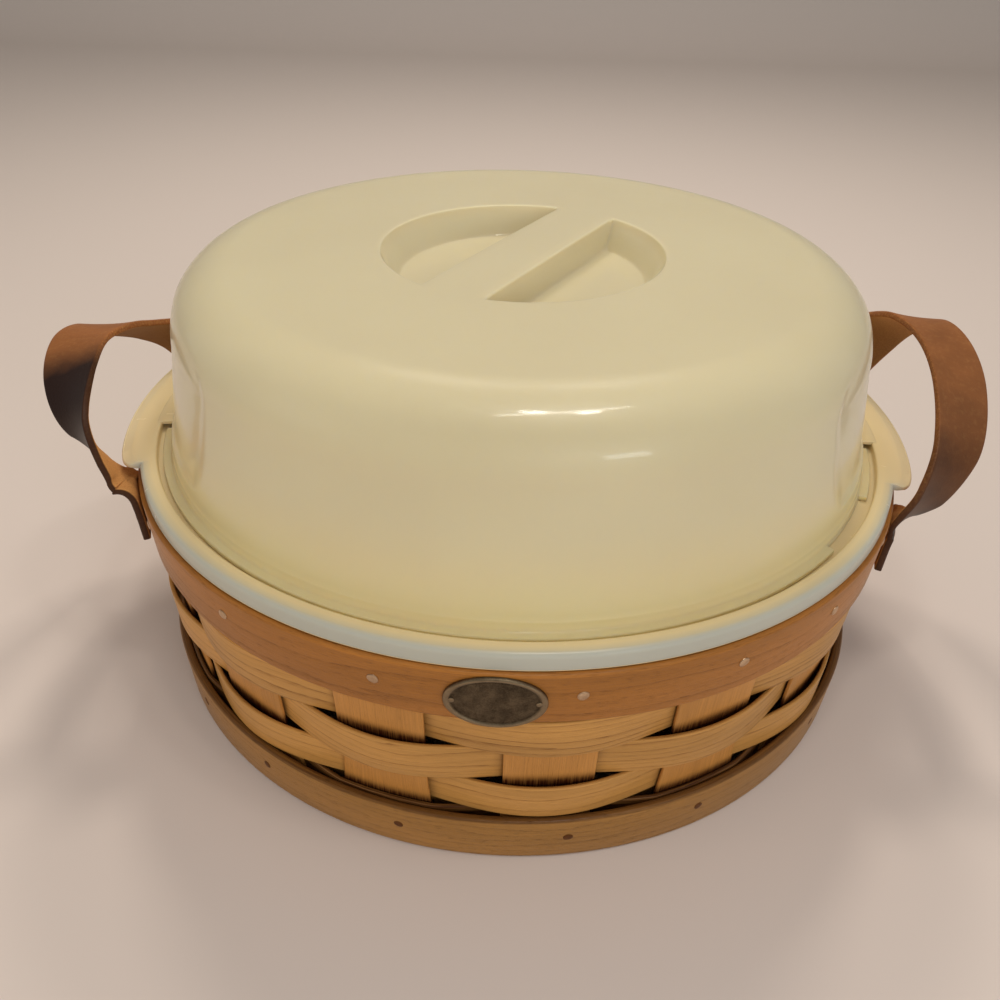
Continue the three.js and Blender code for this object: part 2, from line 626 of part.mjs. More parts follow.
// Grip tab: it starts in the rim and slopes down beyond a crease, with its two corners rounded off.
function grabTab(middle) {
  const half = 90 - TAB_START;
  const inside = RIM_RADIUS - RIM_EDGE;
  const section = (degrees) => {
    const share = (degrees - middle) / half;
    const reach = TAB_REACH * Math.pow(1 - Math.pow(Math.abs(share), 10), 0.35);
    const crease = RIM_RADIUS + Math.min(TAB_CREASE, reach * 0.6);
    const tip = RIM_RADIUS + Math.max(reach, 0.2);
    const fall = TAB_FALL * (reach / TAB_REACH);
    return [
      [inside, RIM_TOP - TAB_THICKNESS],
      [crease, RIM_TOP - TAB_THICKNESS],
      [tip, RIM_TOP - TAB_THICKNESS - fall],
      [tip, RIM_TOP - fall],
      [crease, RIM_TOP],
      [inside, RIM_TOP],
    ];
  };
  return solid(sweepRound(section, middle - half, middle + half, 14, false));
}

function hook(middle) {
  const reach = LEDGE_OUTSIDE - HOOK_REACH;
  const low = LEDGE_TOP + SEAT_GAP + LID_WALL + SEAT_GAP;
  const section = () => [
    [reach, low],
    [LEDGE_OUTSIDE + RIM_EDGE, low],
    [LEDGE_OUTSIDE + RIM_EDGE, low + HOOK_THICKNESS],
    [reach, low + HOOK_THICKNESS],
  ];
  const [from, to] = [middle - HOOK_HALF_ANGLE, middle + HOOK_HALF_ANGLE];
  return solid(sweepRound(section, from, to, 4, false));
}

// Slot through the ledge under a hook.
function hookSlot(middle) {
  const reach = LEDGE_OUTSIDE - HOOK_REACH;
  const section = () => [
    [reach, LEDGE_TOP - 2 * TRAY_WALL],
    [reach + HOOK_SLOT_WIDTH, LEDGE_TOP - 2 * TRAY_WALL],
    [reach + HOOK_SLOT_WIDTH, LEDGE_TOP + SEAT_GAP],
    [reach, LEDGE_TOP + SEAT_GAP],
  ];
  const half = HOOK_HALF_ANGLE + HOOK_SLOT_SIDE;
  return solid(sweepRound(section, middle - half, middle + half, 4, false));
}

// Lid: the outer form less the inner form, less the grip's two pockets and the flange's notches
const FLANGE_BOTTOM = LEDGE_TOP + SEAT_GAP;
const FLANGE_TOP = FLANGE_BOTTOM + LID_WALL;
const FLANGE_RADIUS = LEDGE_OUTSIDE - LID_FLANGE_CLEARANCE;
const LID_FOOT_RADIUS = FLANGE_RADIUS - LID_FLANGE_WIDTH;
const LID_FOOT = FLANGE_TOP + LID_FOOT_STEP;
const SHOULDER_LOW = FLANGE_TOP + LID_SHOULDER_RISE;
const SHOULDER_RADIUS = LID_FOOT_RADIUS - LID_DRAFT;
const LID_TOP = SHOULDER_LOW + LID_SHOULDER;

// Wall, shoulder and crown of the lid at an angle, moved inward by a distance. The wall sinks into
// a shallow panel on each side.
function domeProfile(degrees, inset) {
  const off = Math.abs(THREE.MathUtils.euclideanModulo(degrees, 180) - 90);
  const sink = THREE.MathUtils.clamp((90 - PANEL_START - off) / PANEL_BORDER, 0, 1);
  const wall = (z, depth) => {
    const share = (z - LID_FOOT) / (SHOULDER_LOW - LID_FOOT);
    return [LID_FOOT_RADIUS - LID_DRAFT * share - inset - sink * depth, z];
  };
  const panelLow = FLANGE_TOP + PANEL_FOOT;
  const points = [
    wall(LID_FOOT, 0),
    wall(panelLow, 0),
    wall(panelLow + PANEL_LIP, PANEL_DEPTH_LOW),
    wall(panelLow + PANEL_LIP + PANEL_FADE, PANEL_DEPTH_HIGH),
  ];
  const shoulder = LID_SHOULDER - inset;
  const steps = 5;
  for (let s = 0; s <= steps; s++) {
    const a = (s * Math.PI) / 2 / steps;
    const depth = s <= 1 ? sink * PANEL_DEPTH_HIGH : 0;
    const radius = SHOULDER_RADIUS - LID_SHOULDER + shoulder * Math.cos(a) - depth;
    points.push([radius, SHOULDER_LOW + shoulder * Math.sin(a)]);
  }
  points.push([RECESS_RADIUS + RECESS_CORNER, LID_TOP - inset + LID_CROWN / 2]);
  points.push([0, LID_TOP - inset + LID_CROWN]);
  return points;
}

function outerForm() {
  const section = (degrees) => [
    [0, FLANGE_BOTTOM],
    [FLANGE_RADIUS, FLANGE_BOTTOM],
    [FLANGE_RADIUS, FLANGE_TOP],
    [LID_FOOT_RADIUS + 0.8, FLANGE_TOP],
    ...domeProfile(degrees, 0),
  ];
  return solid(sweepRound(section, 0, 360, LID_STEPS, true));
}

function innerForm() {
  const section = (degrees) => [
    [0, FLANGE_BOTTOM - LID_WALL],
    [LID_FOOT_RADIUS - LID_WALL, FLANGE_BOTTOM - LID_WALL],
    ...domeProfile(degrees, LID_WALL),
  ];
  return solid(sweepRound(section, 0, 360, LID_STEPS, true));
}

// One pocket of the crown's recess: a circle's segment beside the grip bar, with drafted walls.
function pocketOutline(radius, bar) {
  const reach = Math.sqrt(radius * radius - bar * bar);
  const angle = Math.atan2(reach, bar);
  const corner = RECESS_CORNER / radius;
  const points = [new THREE.Vector2(bar, -reach + RECESS_CORNER)];
  const steps = 12;
  for (let s = 0; s <= steps; s++) {
    const a = -angle + corner + ((2 * angle - 2 * corner) * s) / steps;
    points.push(new THREE.Vector2(radius * Math.cos(a), radius * Math.sin(a)));
  }
  points.push(new THREE.Vector2(bar, reach - RECESS_CORNER));
  return points;
}

function pocket(side, grow) {
  const rimZ = LID_TOP;
  const floorZ = rimZ - RECESS_DEPTH - grow;
  const topZ = rimZ + RECESS_DEPTH;
  const bar = BAR_WIDTH / 2;
  const level = (z) => {
    const depth = (rimZ - z) / RECESS_DEPTH;
    const radius = RECESS_RADIUS - RECESS_DRAFT * depth + grow;
    const edge = bar + side * BAR_SHIFT + BAR_SIDE_DRAFT * depth - grow;
    return pocketOutline(radius, edge).map((p) => new THREE.Vector3(side * p.x, p.y, z));
  };
  return solid(skin([level(floorZ), level(topZ)], false).rotateZ(radians(BAR_TURN)));
}

// Notch cut out of the flange between two angles.
function notch(from, to) {
  const inside = FLANGE_RADIUS - NOTCH_DEPTH;
  const section = () => [
    [inside, FLANGE_BOTTOM - LID_WALL],
    [FLANGE_RADIUS + LID_WALL, FLANGE_BOTTOM - LID_WALL],
    [FLANGE_RADIUS + LID_WALL, LID_FOOT],
    [inside, LID_FOOT],
  ];
  return solid(sweepRound(section, from, to, 4, false));
}

function domedLid() {
  let outer = outerForm();
  let inner = innerForm();
  for (const side of [1, -1]) {
    outer = outer.subtract(pocket(side, 0));
    inner = inner.subtract(pocket(side, LID_WALL));
  }
  let shell = outer.subtract(inner);
  const hookNotch = HOOK_HALF_ANGLE + NOTCH_SIDE_CLEARANCE;
  for (const half of [0, 180]) {
    shell = shell.subtract(notch(NOTCH_START + half, NOTCH_END + half));
    shell = shell.subtract(notch(90 - hookNotch + half, 90 + hookNotch + half));
  }
  return shell;
}

// Assembly
const holesInBand = nails.map((nail) => nail.hole);
handle(1, RIGHT_LOOP, RIGHT_FOLD, rightHandle);
handle(-1, LEFT_LOOP, LEFT_FOLD, leftHandle);

const badgeSeat = stakeRadius(BADGE_HEIGHT_UP) + BAND_OUTSIDE + 2 * SEAT_GAP + BADGE_THICKNESS;
let badge = badgePlate();
for (const side of [-1, 1]) {
  const turn = THREE.MathUtils.radToDeg(BADGE_PIN_REACH / badgeSeat);
  const degrees = BADGE_ANGLE + side * turn;
  const place = (body) => onWall(body, badgeSeat, degrees, BADGE_HEIGHT_UP);
  const hole = place(drill(BADGE_PIN_SHANK, BADGE_PIN_LENGTH));
  const pin = fastener(
    BADGE_PIN_HEAD_RADIUS,
    BADGE_PIN_HEAD_HEIGHT,
    BADGE_PIN_SHANK,
    BADGE_PIN_LENGTH,
  );
  badge = badge.subtract(hole);
  holesInBand.push(hole);
  add(basket, side < 0 ? "badge_left_pin" : "badge_right_pin", MATERIALS.bronze, place(pin));
}
add(basket, "front_badge", MATERIALS.bronze, badge);

let band = outerBand();
for (const hole of holesInBand) band = band.subtract(hole);
let liner = innerBand();
for (const nail of nails) liner = liner.subtract(nail.hole);
add(basket, "outer_top_band", MATERIALS.band, band);
add(basket, "inner_top_band", MATERIALS.band, liner);
add(basket, "outer_bottom_hoop", MATERIALS.band, outerHoop());
add(basket, "inner_bottom_hoop", MATERIALS.band, innerHoop());
for (let row = 0; row < WEAVER_COUNT; row++) {
  add(basket, `weaver_${row + 1}`, MATERIALS.splint, weaver(row));
}

const splints = [];
LENGTHWISE.forEach((k, i) => {
  const strip = floorStrip(LENGTHWISE_PLACES[i], CROSSWISE_PLACES, i % 2 === 0 ? 1 : -1, true);
  splints.push({ strip, stakes: [k, STAKE_COUNT / 2 - k] });
});
CROSSWISE.forEach((k, j) => {
  const strip = floorStrip(CROSSWISE_PLACES[j], LENGTHWISE_PLACES, j % 2 === 0 ? -1 : 1, false);
  splints.push({ strip, stakes: [k, -k] });
});
splints.forEach(({ strip, stakes }, i) => {
  const wrapped = stakes.map((k) => (k + STAKE_COUNT) % STAKE_COUNT);
  let body = splint(strip, wrapped.map(stakeAngle));
  for (const nail of nails) if (wrapped.includes(nail.stake)) body = body.subtract(nail.hole);
  add(basket, `splint_${i + 1}`, MATERIALS.splint, body);
});
nails.forEach((nail, k) => add(basket, `top_nail_${k + 1}`, MATERIALS.nail, nail.body));

let trayBody = trayShell();
for (const middle of [90, -90]) {
  trayBody = trayBody.subtract(hookSlot(middle)).add(grabTab(middle)).add(hook(middle));
}
add(tray, "cake_tray", MATERIALS.tray, trayBody);
add(lid, "domed_lid", MATERIALS.lid, domedLid());

const picnicBasket = new THREE.Group();
picnicBasket.add(basket, leftHandle, rightHandle, tray, lid);
export default picnicBasket;
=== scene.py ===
"""Looks of a round woven basket with leather handles, a cake tray and a milky domed lid.

Lengths in the tables and functions are millimetres and become metres when a mesh is made. Angles are
degrees round the basket's axis from the front, + to the right, as seen from the front.
"""

import math

import bmesh
import bpy
import numpy as np
from mathutils import Matrix, Vector


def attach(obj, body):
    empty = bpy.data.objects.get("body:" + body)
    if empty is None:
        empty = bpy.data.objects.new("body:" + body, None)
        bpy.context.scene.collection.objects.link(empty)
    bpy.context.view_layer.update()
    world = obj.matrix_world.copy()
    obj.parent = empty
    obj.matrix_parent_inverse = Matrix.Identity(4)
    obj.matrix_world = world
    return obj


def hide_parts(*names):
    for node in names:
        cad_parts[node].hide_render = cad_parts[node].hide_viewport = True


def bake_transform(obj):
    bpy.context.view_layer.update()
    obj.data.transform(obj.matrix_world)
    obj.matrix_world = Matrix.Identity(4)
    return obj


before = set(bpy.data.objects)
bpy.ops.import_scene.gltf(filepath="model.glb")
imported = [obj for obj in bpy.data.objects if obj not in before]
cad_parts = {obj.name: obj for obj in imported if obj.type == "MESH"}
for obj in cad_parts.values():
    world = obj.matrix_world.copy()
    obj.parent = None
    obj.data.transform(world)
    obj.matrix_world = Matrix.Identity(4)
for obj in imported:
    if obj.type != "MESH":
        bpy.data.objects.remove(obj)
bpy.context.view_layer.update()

MM = 0.001

# The basket's wall, as in the solids: distances are from the stakes' middle surface
WALL_FOOT_RADIUS = 153.2
WALL_FLARE = 0.09
STAKE_COUNT = 16
STAKE_PHASE = 5.2
STAKE_WIDTH = 34
STAKE_THICKNESS = 1.5
STAKE_TOP = 98.5
FLOOR_Z = 5
FLOOR_WAVE = 0.95
FLOOR_EASE = 9
BAND_TOP = 100
BAND_INNER = 1.15
BAND_OUTER = 4.65
OUTER_BAND_LOW = 76.5
INNER_BAND_LOW = 79
HOOP_INNER = 3.35
HOOP_OUTER = 6.95
HOOP_TOP = 22
INNER_HOOP_LOW = 7.9
INNER_THICKNESS = 3
WEAVER_ROWS = ((57.6, 76.1), (39.4, 57.2), (22.5, 39.0), (10.1, 22.1))
WEAVER_THICKNESS = 1.8
WEAVER_BULGE = 3.6
WEAVER_TIGHT = 2.05
NAIL_DRIFT = (2.7, 0.8, -4.8, -7.2, 1.1, -0.9, 0.7, 0.8)
HOOP_NAIL_DRIFT = (2.9, -0.3, 3.2, -2.8, 1.4, 8.3, 2.8, 2.4)
PITCH = 360 / STAKE_COUNT

# Nails, rivets and badge
TOP_NAIL_Z = 90
HOOP_NAIL_Z = 12
RIVET_Z = 83
BADGE_Z = 87.7
BADGE_ANGLE = -2.1
BADGE_HALF_WIDTH = 17.5
BADGE_HALF_HEIGHT = 12
BADGE_PIN_REACH = 14.6

# Strap stations: outward from the foot, share of the way to a foot, height over the band's top, then
# the width's direction in plan and its dip
STRAP_WIDTH = 24.5
STRAP_THICKNESS = 3
FOOT_ANGLE = 19.9
FOOT_RADIUS = 168.65
RIGHT_LOOP = (
    (-2.2, -1, -27, 70.1, 0),
    (-0.7, -1, -11, 70.1, 0),
    (0.2, -1.01, -8, 67, 8),
    (4, -1.035, -4, 54, 26),
    (11.2, -1.02, 4.6, 36, 22),
    (21.6, -0.82, 21, 23, 10),
    (28.3, -0.37, 36.3, 17, 6),
    (29.6, 0.1, 44.2, 11, 6),
    (27, 0.48, 44.8, 2, 5),
    (23, 0.7, 39.8, -11, 6),
    (18.5, 0.93, 29.2, -26, 7),
    (12.2, 1.04, 15.5, -43, 8),
    (7.5, 1.045, 5, -56, 7),
    (4, 1.035, -3.2, -64, 4),
    (0.2, 1.01, -8, -69, 0),
    (-0.7, 1, -11, -70.1, 0),
    (-2.2, 1, -27, -70.1, 0),
)
LEFT_LOOP = (
    (-1.9, -1, -22, 70.1, 0),
    (-0.3, -1, -7, 70.1, 0),
    (0.9, -1, -2.2, 69.5, 0),
    (3.6, -0.99, -0.6, 68, 0),
    (6.8, -0.985, 1.6, 66, 1),
    (11, -0.965, 7.2, 61, 2),
    (20.5, -0.86, 21.5, 46, 5),
    (28.6, -0.55, 33.2, 33, 4),
    (32.6, -0.12, 39, 19, 3),
    (30.6, 0.2, 37, 8, 4),
    (26.4, 0.46, 30.4, -6, 10),
    (18.2, 0.82, 21.2, -8, 15),
    (8.6, 1.06, 11.5, -34, 15),
    (3.4, 1.05, 1.5, -57, 7),
    (0.8, 1.01, -6, -69, 0),
    (-0.4, 1, -10, -70.1, 0),
    (-2.2, 1, -27, -70.1, 0),
)

# Painted shade along each strap, from 0 (light) to 1 (nearly black), on the outer face, which differs
# between the two straps of one leather, and on the flesh side
RIGHT_OUTER_SHADE = ((0, 1), (2, 1), (3, 0.9), (4, 0.8), (5, 0.6), (6, 0.38), (8, 0.15), (12, 0.2), (15, 1))
LEFT_OUTER_SHADE = ((0, 1.1), (6, 1.15), (7, 1.1), (7.3, 0.8), (7.7, 0.3), (8.2, 0.05), (12, 0.2), (15, 1))
FLESH_SHADE = ((0, 0), (8, 0), (10, 0.55), (16, 0.7))

# Tray and lid
TRAY_WALL = 2.2
RIM_RADIUS = 165
RIM_TOP = 107.5
RIM_FOOT = 100.3
LEDGE_TOP = 103.6
LEDGE_OUTSIDE = 158
WELL_RADIUS = 150.4
TRAY_FLOOR = 90.1
GUIDE_RADIUS = 157.45
GUIDE_HEIGHT = 6
STAND_RADIUS = 122
STAND_HEIGHT = 2
HOOK_RADIUS = 156.55
HOOK_Z = 106.95
HOOK_WIDTH = 6.9
HOOK_THICKNESS = 1.5
HOOK_HALF_ANGLE = 7.5
HOOK_SLOT_HALF_ANGLE = 9.3
TAB_START = 70.5
TAB_REACH = 7.5
FLANGE_BOTTOM = 103.9
FLANGE_TOP = 105.9
FLANGE_RADIUS = 155.7
NOTCH_MIDDLE = 58
NOTCH_HALF_ANGLE = 8
NOTCH_DEPTH = 3.1
HOOK_NOTCH_HALF_ANGLE = 8.5
LID_FOOT_RADIUS = 151.4
LID_FOOT = 110.3
SHOULDER_LOW = 156.5
SHOULDER_RADIUS = 145.5
SHOULDER = 26.7
LID_TOP = 183.2
LID_CROWN = 0.8
LID_WALL = 2
RECESS_RING = 65.5
RECESS_RADIUS = 59
RECESS_DEPTH = 11.6
RECESS_DRAFT = 7
POCKET_RIM = 0.9
POCKET_BASE = 1.4
POCKET_MIDDLE = 36
BAR_WIDTH = 27.5
BAR_TURN = -28.6
BAR_SHIFT = 1
BAR_DRAFT = 1.2


# Geometry helpers


def stake_radius(z):
    """Radius of the stakes' middle surface, which grows evenly with the height."""
    return WALL_FOOT_RADIUS + WALL_FLARE * z


def polar(radius, degrees, z):
    """Points at a radius, an angle and a height. The three broadcast against each other."""
    a = np.radians(degrees)
    return np.stack(np.broadcast_arrays(radius * np.sin(a), -radius * np.cos(a), z), axis=-1)


def mirrored(half, middle=90):
    """The four angles that lie half to either side of a middle and of the one opposite."""
    return [middle + turn + side * half for turn in (0, 180) for side in (-1, 1)]


def turned(points, degrees):
    """Points turned about the axis, counter-clockwise from above."""
    a = math.radians(degrees)
    x, y, z = np.moveaxis(points, -1, 0)
    return np.stack([x * math.cos(a) - y * math.sin(a), x * math.sin(a) + y * math.cos(a), z], axis=-1)


def ease(x):
    """Smooth step from 0 at x = 0 to 1 at x = 1."""
    x = np.clip(x, 0, 1)
    return x * x * (3 - 2 * x)


def rounded_box(width, height, radius, steps, across):
    """Loop of [x, y] points round a rectangle with rounded corners, and the run along it. Steps is
    the number of points of a corner and across the number of spans of a long side."""
    corners = ((1, 1, 0), (-1, 1, 90), (-1, -1, 180), (1, -1, 270))
    turn = np.radians(np.linspace(0, 90, steps))
    loop = []
    for sx, sy, start in corners:
        a = turn + math.radians(start)
        x = sx * (width / 2 - radius) + radius * np.cos(a)
        y = sy * (height / 2 - radius) + radius * np.sin(a)
        loop.append(np.stack([x, y], axis=1))
        if sx == sy:
            share = np.linspace(0, 1, across + 1)[1:-1, None]
            end = np.array([-sx * (width / 2 - radius), sy * height / 2])
            loop.append(loop[-1][-1] * (1 - share) + end * share)
    loop = np.concatenate(loop)
    steps_run = np.linalg.norm(np.roll(loop, -1, axis=0) - loop, axis=1)
    return loop, np.concatenate([[0], np.cumsum(steps_run)])


def capped(sections):
    """Adds to a tube's sections one point at the middle of each end, as a closing fan."""
    ends = [np.repeat(s.mean(axis=0)[None], s.shape[0], axis=0) for s in (sections[0], sections[-1])]
    return np.concatenate([ends[0][None], sections, ends[1][None]])


def run_along(points):
    """Distance along a line of points."""
    steps = np.linalg.norm(np.diff(points, axis=0), axis=1)
    return np.concatenate([[0], np.cumsum(steps)])


class Grid:
    """A grid of points [rows, columns, 3], wrapped round or open each way, with its texture run."""

    def __init__(self, points, wrap_rows=False, wrap_columns=True, along=None, across=None, **values):
        self.points = points
        self.wrap = (wrap_rows, wrap_columns)
        rows, columns = points.shape[:2]
        self.along = np.arange(rows + 1.0) if along is None else along
        self.across = np.arange(columns + 1.0) if across is None else across
        self.values = values

    def faces(self):
        """The four corners of each face, and their places along and across."""
        rows, columns = self.points.shape[:2]
        r0 = np.arange(rows if self.wrap[0] else rows - 1)
        c0 = np.arange(columns if self.wrap[1] else columns - 1)
        r0, c0 = (a.reshape(-1) for a in np.meshgrid(r0, c0, indexing="ij"))
        r = np.stack([r0, r0 + 1, r0 + 1, r0], axis=1)
        c = np.stack([c0, c0, c0 + 1, c0 + 1], axis=1)
        index = (r % rows) * columns + c % columns
        return index, np.stack([self.along[r], self.across[c]], axis=2)


def put_in_scene(name, data):
    """A new object at the origin with its data, linked into the scene."""
    made = bpy.data.objects.new(name, data)
    bpy.context.scene.collection.objects.link(made)
    return made


def make(name, grids, material, body=None, solid=None, sharp=50):
    """One closed mesh from grids that meet edge to edge, welded, with its faces turned outward. The
    piece rides on its body and stands for its solid."""
    index, runs, start = [], [], 0
    for grid in grids:
        faces, uv = grid.faces()
        index.append(faces + start)
        runs.append(uv)
        start += grid.points.shape[0] * grid.points.shape[1]
    points = np.concatenate([g.points.reshape(-1, 3) for g in grids]) * MM
    mesh = bpy.data.meshes.new(name)
    mesh.from_pydata(points, [], np.concatenate(index))
    layer = mesh.uv_layers.new(name="grain")
    layer.data.foreach_set("uv", np.concatenate(runs).astype(np.float32).reshape(-1))
    for key in grids[0].values:
        values = np.concatenate(
            [np.broadcast_to(g.values[key], g.points.shape[:2]).reshape(-1) for g in grids]
        )
        mesh.attributes.new(key, "FLOAT", "POINT").data.foreach_set("value", values.astype(np.float32))
    shape = bmesh.new()
    shape.from_mesh(mesh)
    bmesh.ops.remove_doubles(shape, verts=shape.verts, dist=1e-6)
    bmesh.ops.recalc_face_normals(shape, faces=shape.faces)
    if shape.calc_volume(signed=True) < 0:
        bmesh.ops.reverse_faces(shape, faces=shape.faces)
    shape.to_mesh(mesh)
    shape.free()
    mesh.shade_smooth()
    mesh.set_sharp_from_angle(angle=math.radians(sharp))
    mesh.materials.append(material)
    made = put_in_scene(name, mesh)
    if body:
        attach(made, body)
    if solid:
        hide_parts(solid)
    return made


# Shader helpers


def node(tree, kind, links=None, **settings):
    """A shader node with its settings, and its inputs set to values or joined to other sockets."""
    made = tree.nodes.new("ShaderNode" + kind)
    for key, value in settings.items():
        setattr(made, key, value)
    for key, value in (links or {}).items():
        if isinstance(value, bpy.types.NodeSocket):
            tree.links.new(value, made.inputs[key])
        else:
            made.inputs[key].default_value = value
    return made


def calc(tree, operation, a, b=0.0, c=0.0, clamp=False):
    """The result of an arithmetic node."""
    return node(tree, "Math", {0: a, 1: b, 2: c}, operation=operation, use_clamp=clamp).outputs[0]


def mix(tree, share, a, b):
    """Colour a turning into colour b by the share."""
    return node(tree, "Mix", {0: share, 6: a, 7: b}, data_type="RGBA").outputs[2]


def remap(tree, value, low, high, to_low=0.0, to_high=1.0):
    """A value carried evenly from one range to another, and held at its ends."""
    return node(tree, "MapRange", {0: value, 1: low, 2: high, 3: to_low, 4: to_high}).outputs[0]


def noise(tree, vector, scale, detail=2.0, rough=0.5):
    """Cloudy noise from about 0.2 to 0.8. A scale for each axis draws it out where that is small."""
    if isinstance(scale, tuple):
        vector = node(tree, "VectorMath", {0: vector, 1: scale}, operation="MULTIPLY").outputs[0]
        scale = 1
    links = {"Vector": vector, "Scale": scale, "Detail": detail, "Roughness": rough}
    return node(tree, "TexNoise", links).outputs[0]


def wander(tree, cloud, amount, middle, clamp=False):
    """A middle value plus noise, taken from its own middle and times an amount."""
    off = calc(tree, "SUBTRACT", cloud, 0.5)
    return calc(tree, "MULTIPLY_ADD", off, amount, middle, clamp)


def group(name, colors, values):
    """An empty node group with a vector input for the place and inputs of colour and value, and a
    function that fills its outputs: colour, roughness and height."""
    tree = bpy.data.node_groups.new(name, "ShaderNodeTree")
    inputs = [("Place", "Vector")] + [(c, "Color") for c in colors] + [(v, "Float") for v in values]
    outputs = [("Color", "Color"), ("Roughness", "Float"), ("Height", "Float")]
    for side, sockets in (("INPUT", inputs), ("OUTPUT", outputs)):
        for label, kind in sockets:
            tree.interface.new_socket(label, in_out=side, socket_type="NodeSocket" + kind)
    source = tree.nodes.new("NodeGroupInput").outputs
    sink = tree.nodes.new("NodeGroupOutput").inputs

    def put_out(color, roughness, height):
        for socket, value in zip(sink, (color, roughness, height)):
            tree.links.new(value, socket)

    return tree, source, put_out


def ash_grain():
    """Split ash: growth lines with one sharp side at uneven distances, some strong and some faint,
    that arch in places; short dark pores along them; and slow changes of tone. A mask of painted
    shade turns the creases and the places under and behind other strips towards a dark shade colour,
    with faint streaks. Runs in mm along and across."""
    colors, values = ("Light", "Dark", "ShadeColor"), ("Spacing", "Arch", "Lines", "Pores", "CreaseShade")
    tree, source, put_out = group("ash_grain", colors, values)
    run = source["Place"]
    split = node(tree, "SeparateXYZ", {0: run}).outputs
    arch = noise(tree, run, (0.009, 0.05, 1), 2)
    bent = wander(tree, arch, source["Arch"], split[1])
    small = noise(tree, run, (0.03, 0.35, 1), 3)
    bent = wander(tree, small, 2.6, bent)
    ring = calc(tree, "DIVIDE", bent, source["Spacing"])
    phase = calc(tree, "FRACT", ring)
    strength = node(tree, "TexWhiteNoise", {"W": calc(tree, "FLOOR", ring)}, noise_dimensions="1D")
    strength = remap(tree, strength.outputs["Value"], 0, 1, 0.15, 1)
    line = calc(tree, "POWER", phase, 5.0)
    line = calc(tree, "MULTIPLY", line, remap(tree, phase, 1.0, 0.95))
    line = calc(tree, "MULTIPLY", line, strength)
    dash = noise(tree, run, (0.16, 3.2, 1), 2)
    line = calc(tree, "MULTIPLY", line, remap(tree, dash, 0.38, 0.6, 0.35, 1.15))
    pores = noise(tree, run, (0.24, 5.5, 1), 2)
    pores = remap(tree, pores, 0.58, 0.7)
    pores = calc(tree, "MULTIPLY", pores, calc(tree, "MULTIPLY_ADD", phase, 0.6, 0.3))
    amount = calc(tree, "MULTIPLY", line, source["Lines"])
    amount = calc(tree, "MULTIPLY_ADD", pores, source["Pores"], amount, clamp=True)
    color = mix(tree, amount, source["Light"], source["Dark"])
    tone = noise(tree, run, (0.007, 0.04, 1), 3)
    tone = remap(tree, tone, 0.3, 0.7, 0.82, 1.14)
    fibre = noise(tree, run, (0.05, 2.4, 1), 4, 0.65)
    tone = calc(tree, "MULTIPLY", tone, remap(tree, fibre, 0.28, 0.72, 0.84, 1.12))
    scaled = node(tree, "VectorMath", {0: color, 3: tone}, operation="SCALE").outputs[0]
    streak = remap(tree, noise(tree, run, (0.03, 2.2, 1), 3), 0.35, 0.65, -0.25, 0.25)
    # Painted shade: creases and the places under and behind other strips turn towards the shade colour,
    # with faint streaks
    crease_shade = calc(tree, "ADD", source["CreaseShade"], calc(tree, "MULTIPLY", streak, source["CreaseShade"]), clamp=True)
    height = calc(tree, "MULTIPLY_ADD", fibre, 0.35, calc(tree, "MULTIPLY", amount, -1.0))
    put_out(mix(tree, crease_shade, scaled, source["ShadeColor"]), remap(tree, amount, 0, 1, 0.38, 0.58), height)
    return tree


def leather_grain():
    """Harness leather: smooth brown outside with fine pebbles and rubs, paler fuzzy flesh inside, and
    cut edges. Flesh and Edge are masks from the strap's own shape. A mask of painted shade darkens
    the outside and the edges towards a near-black shade colour, blotch by blotch, and a second one
    does so to the flesh side."""
    colors, values = ("Outside", "Inside", "Cut", "Old"), ("Flesh", "Edge", "Age", "FleshShade")
    tree, source, put_out = group("leather_grain", colors, values)
    place = source["Place"]
    blotch = noise(tree, place, 55, 3, 0.55)
    rub = noise(tree, place, 420, 3, 0.6)
    # Painted shade: the outside and the edges darken blotch by blotch towards the near-black shade colour
    outer_shade = wander(tree, blotch, 0.5, source["Age"], True)
    outside = mix(tree, remap(tree, blotch, 0.4, 0.75, 0, 0.2), source["Outside"], source["Cut"])
    outside = mix(tree, remap(tree, rub, 0.5, 0.75, 0, 0.2), outside, source["Inside"])
    outside = mix(tree, outer_shade, outside, source["Old"])
    fuzz = noise(tree, place, 1500, 4, 0.7)
    inside = mix(tree, remap(tree, fuzz, 0.35, 0.75, 0, 0.6), source["Inside"], source["Cut"])
    # Painted shade on the flesh side
    inside = mix(tree, source["FleshShade"], inside, source["Old"])
    color = mix(tree, source["Flesh"], outside, inside)
    fibre = noise(tree, place, 900, 4, 0.7)
    cut = mix(tree, remap(tree, fibre, 0.45, 0.7, 0, 0.6), source["Cut"], source["Inside"])
    cut = mix(tree, calc(tree, "MULTIPLY", outer_shade, 0.9), cut, source["Old"])
    color = mix(tree, source["Edge"], color, cut)
    rough = remap(tree, source["Flesh"], 0, 1, 0.47, 0.9)
    pebble = node(tree, "TexVoronoi", {"Vector": place, "Scale": 1300.0}, feature="SMOOTH_F1").outputs[0]
    deep = calc(tree, "MULTIPLY_ADD", fuzz, source["Flesh"], calc(tree, "MULTIPLY", pebble, 0.4))
    put_out(color, rough, deep)
    return tree


def worn_metal():
    """Old copper or bronze: dull, but bright and smoother where Wear is high, with fine pits."""
    tree, source, put_out = group("worn_metal", ("Bright", "Dull"), ("Wear",))
    coarse = noise(tree, source["Place"], 260, 4, 0.6)
    fine = noise(tree, source["Place"], 1900, 3, 0.6)
    level = wander(tree, coarse, 0.9, source["Wear"], True)
    level = wander(tree, fine, 0.5, level, True)
    put_out(mix(tree, level, source["Dull"], source["Bright"]), remap(tree, level, 0, 1, 0.6, 0.33), fine)
    return tree


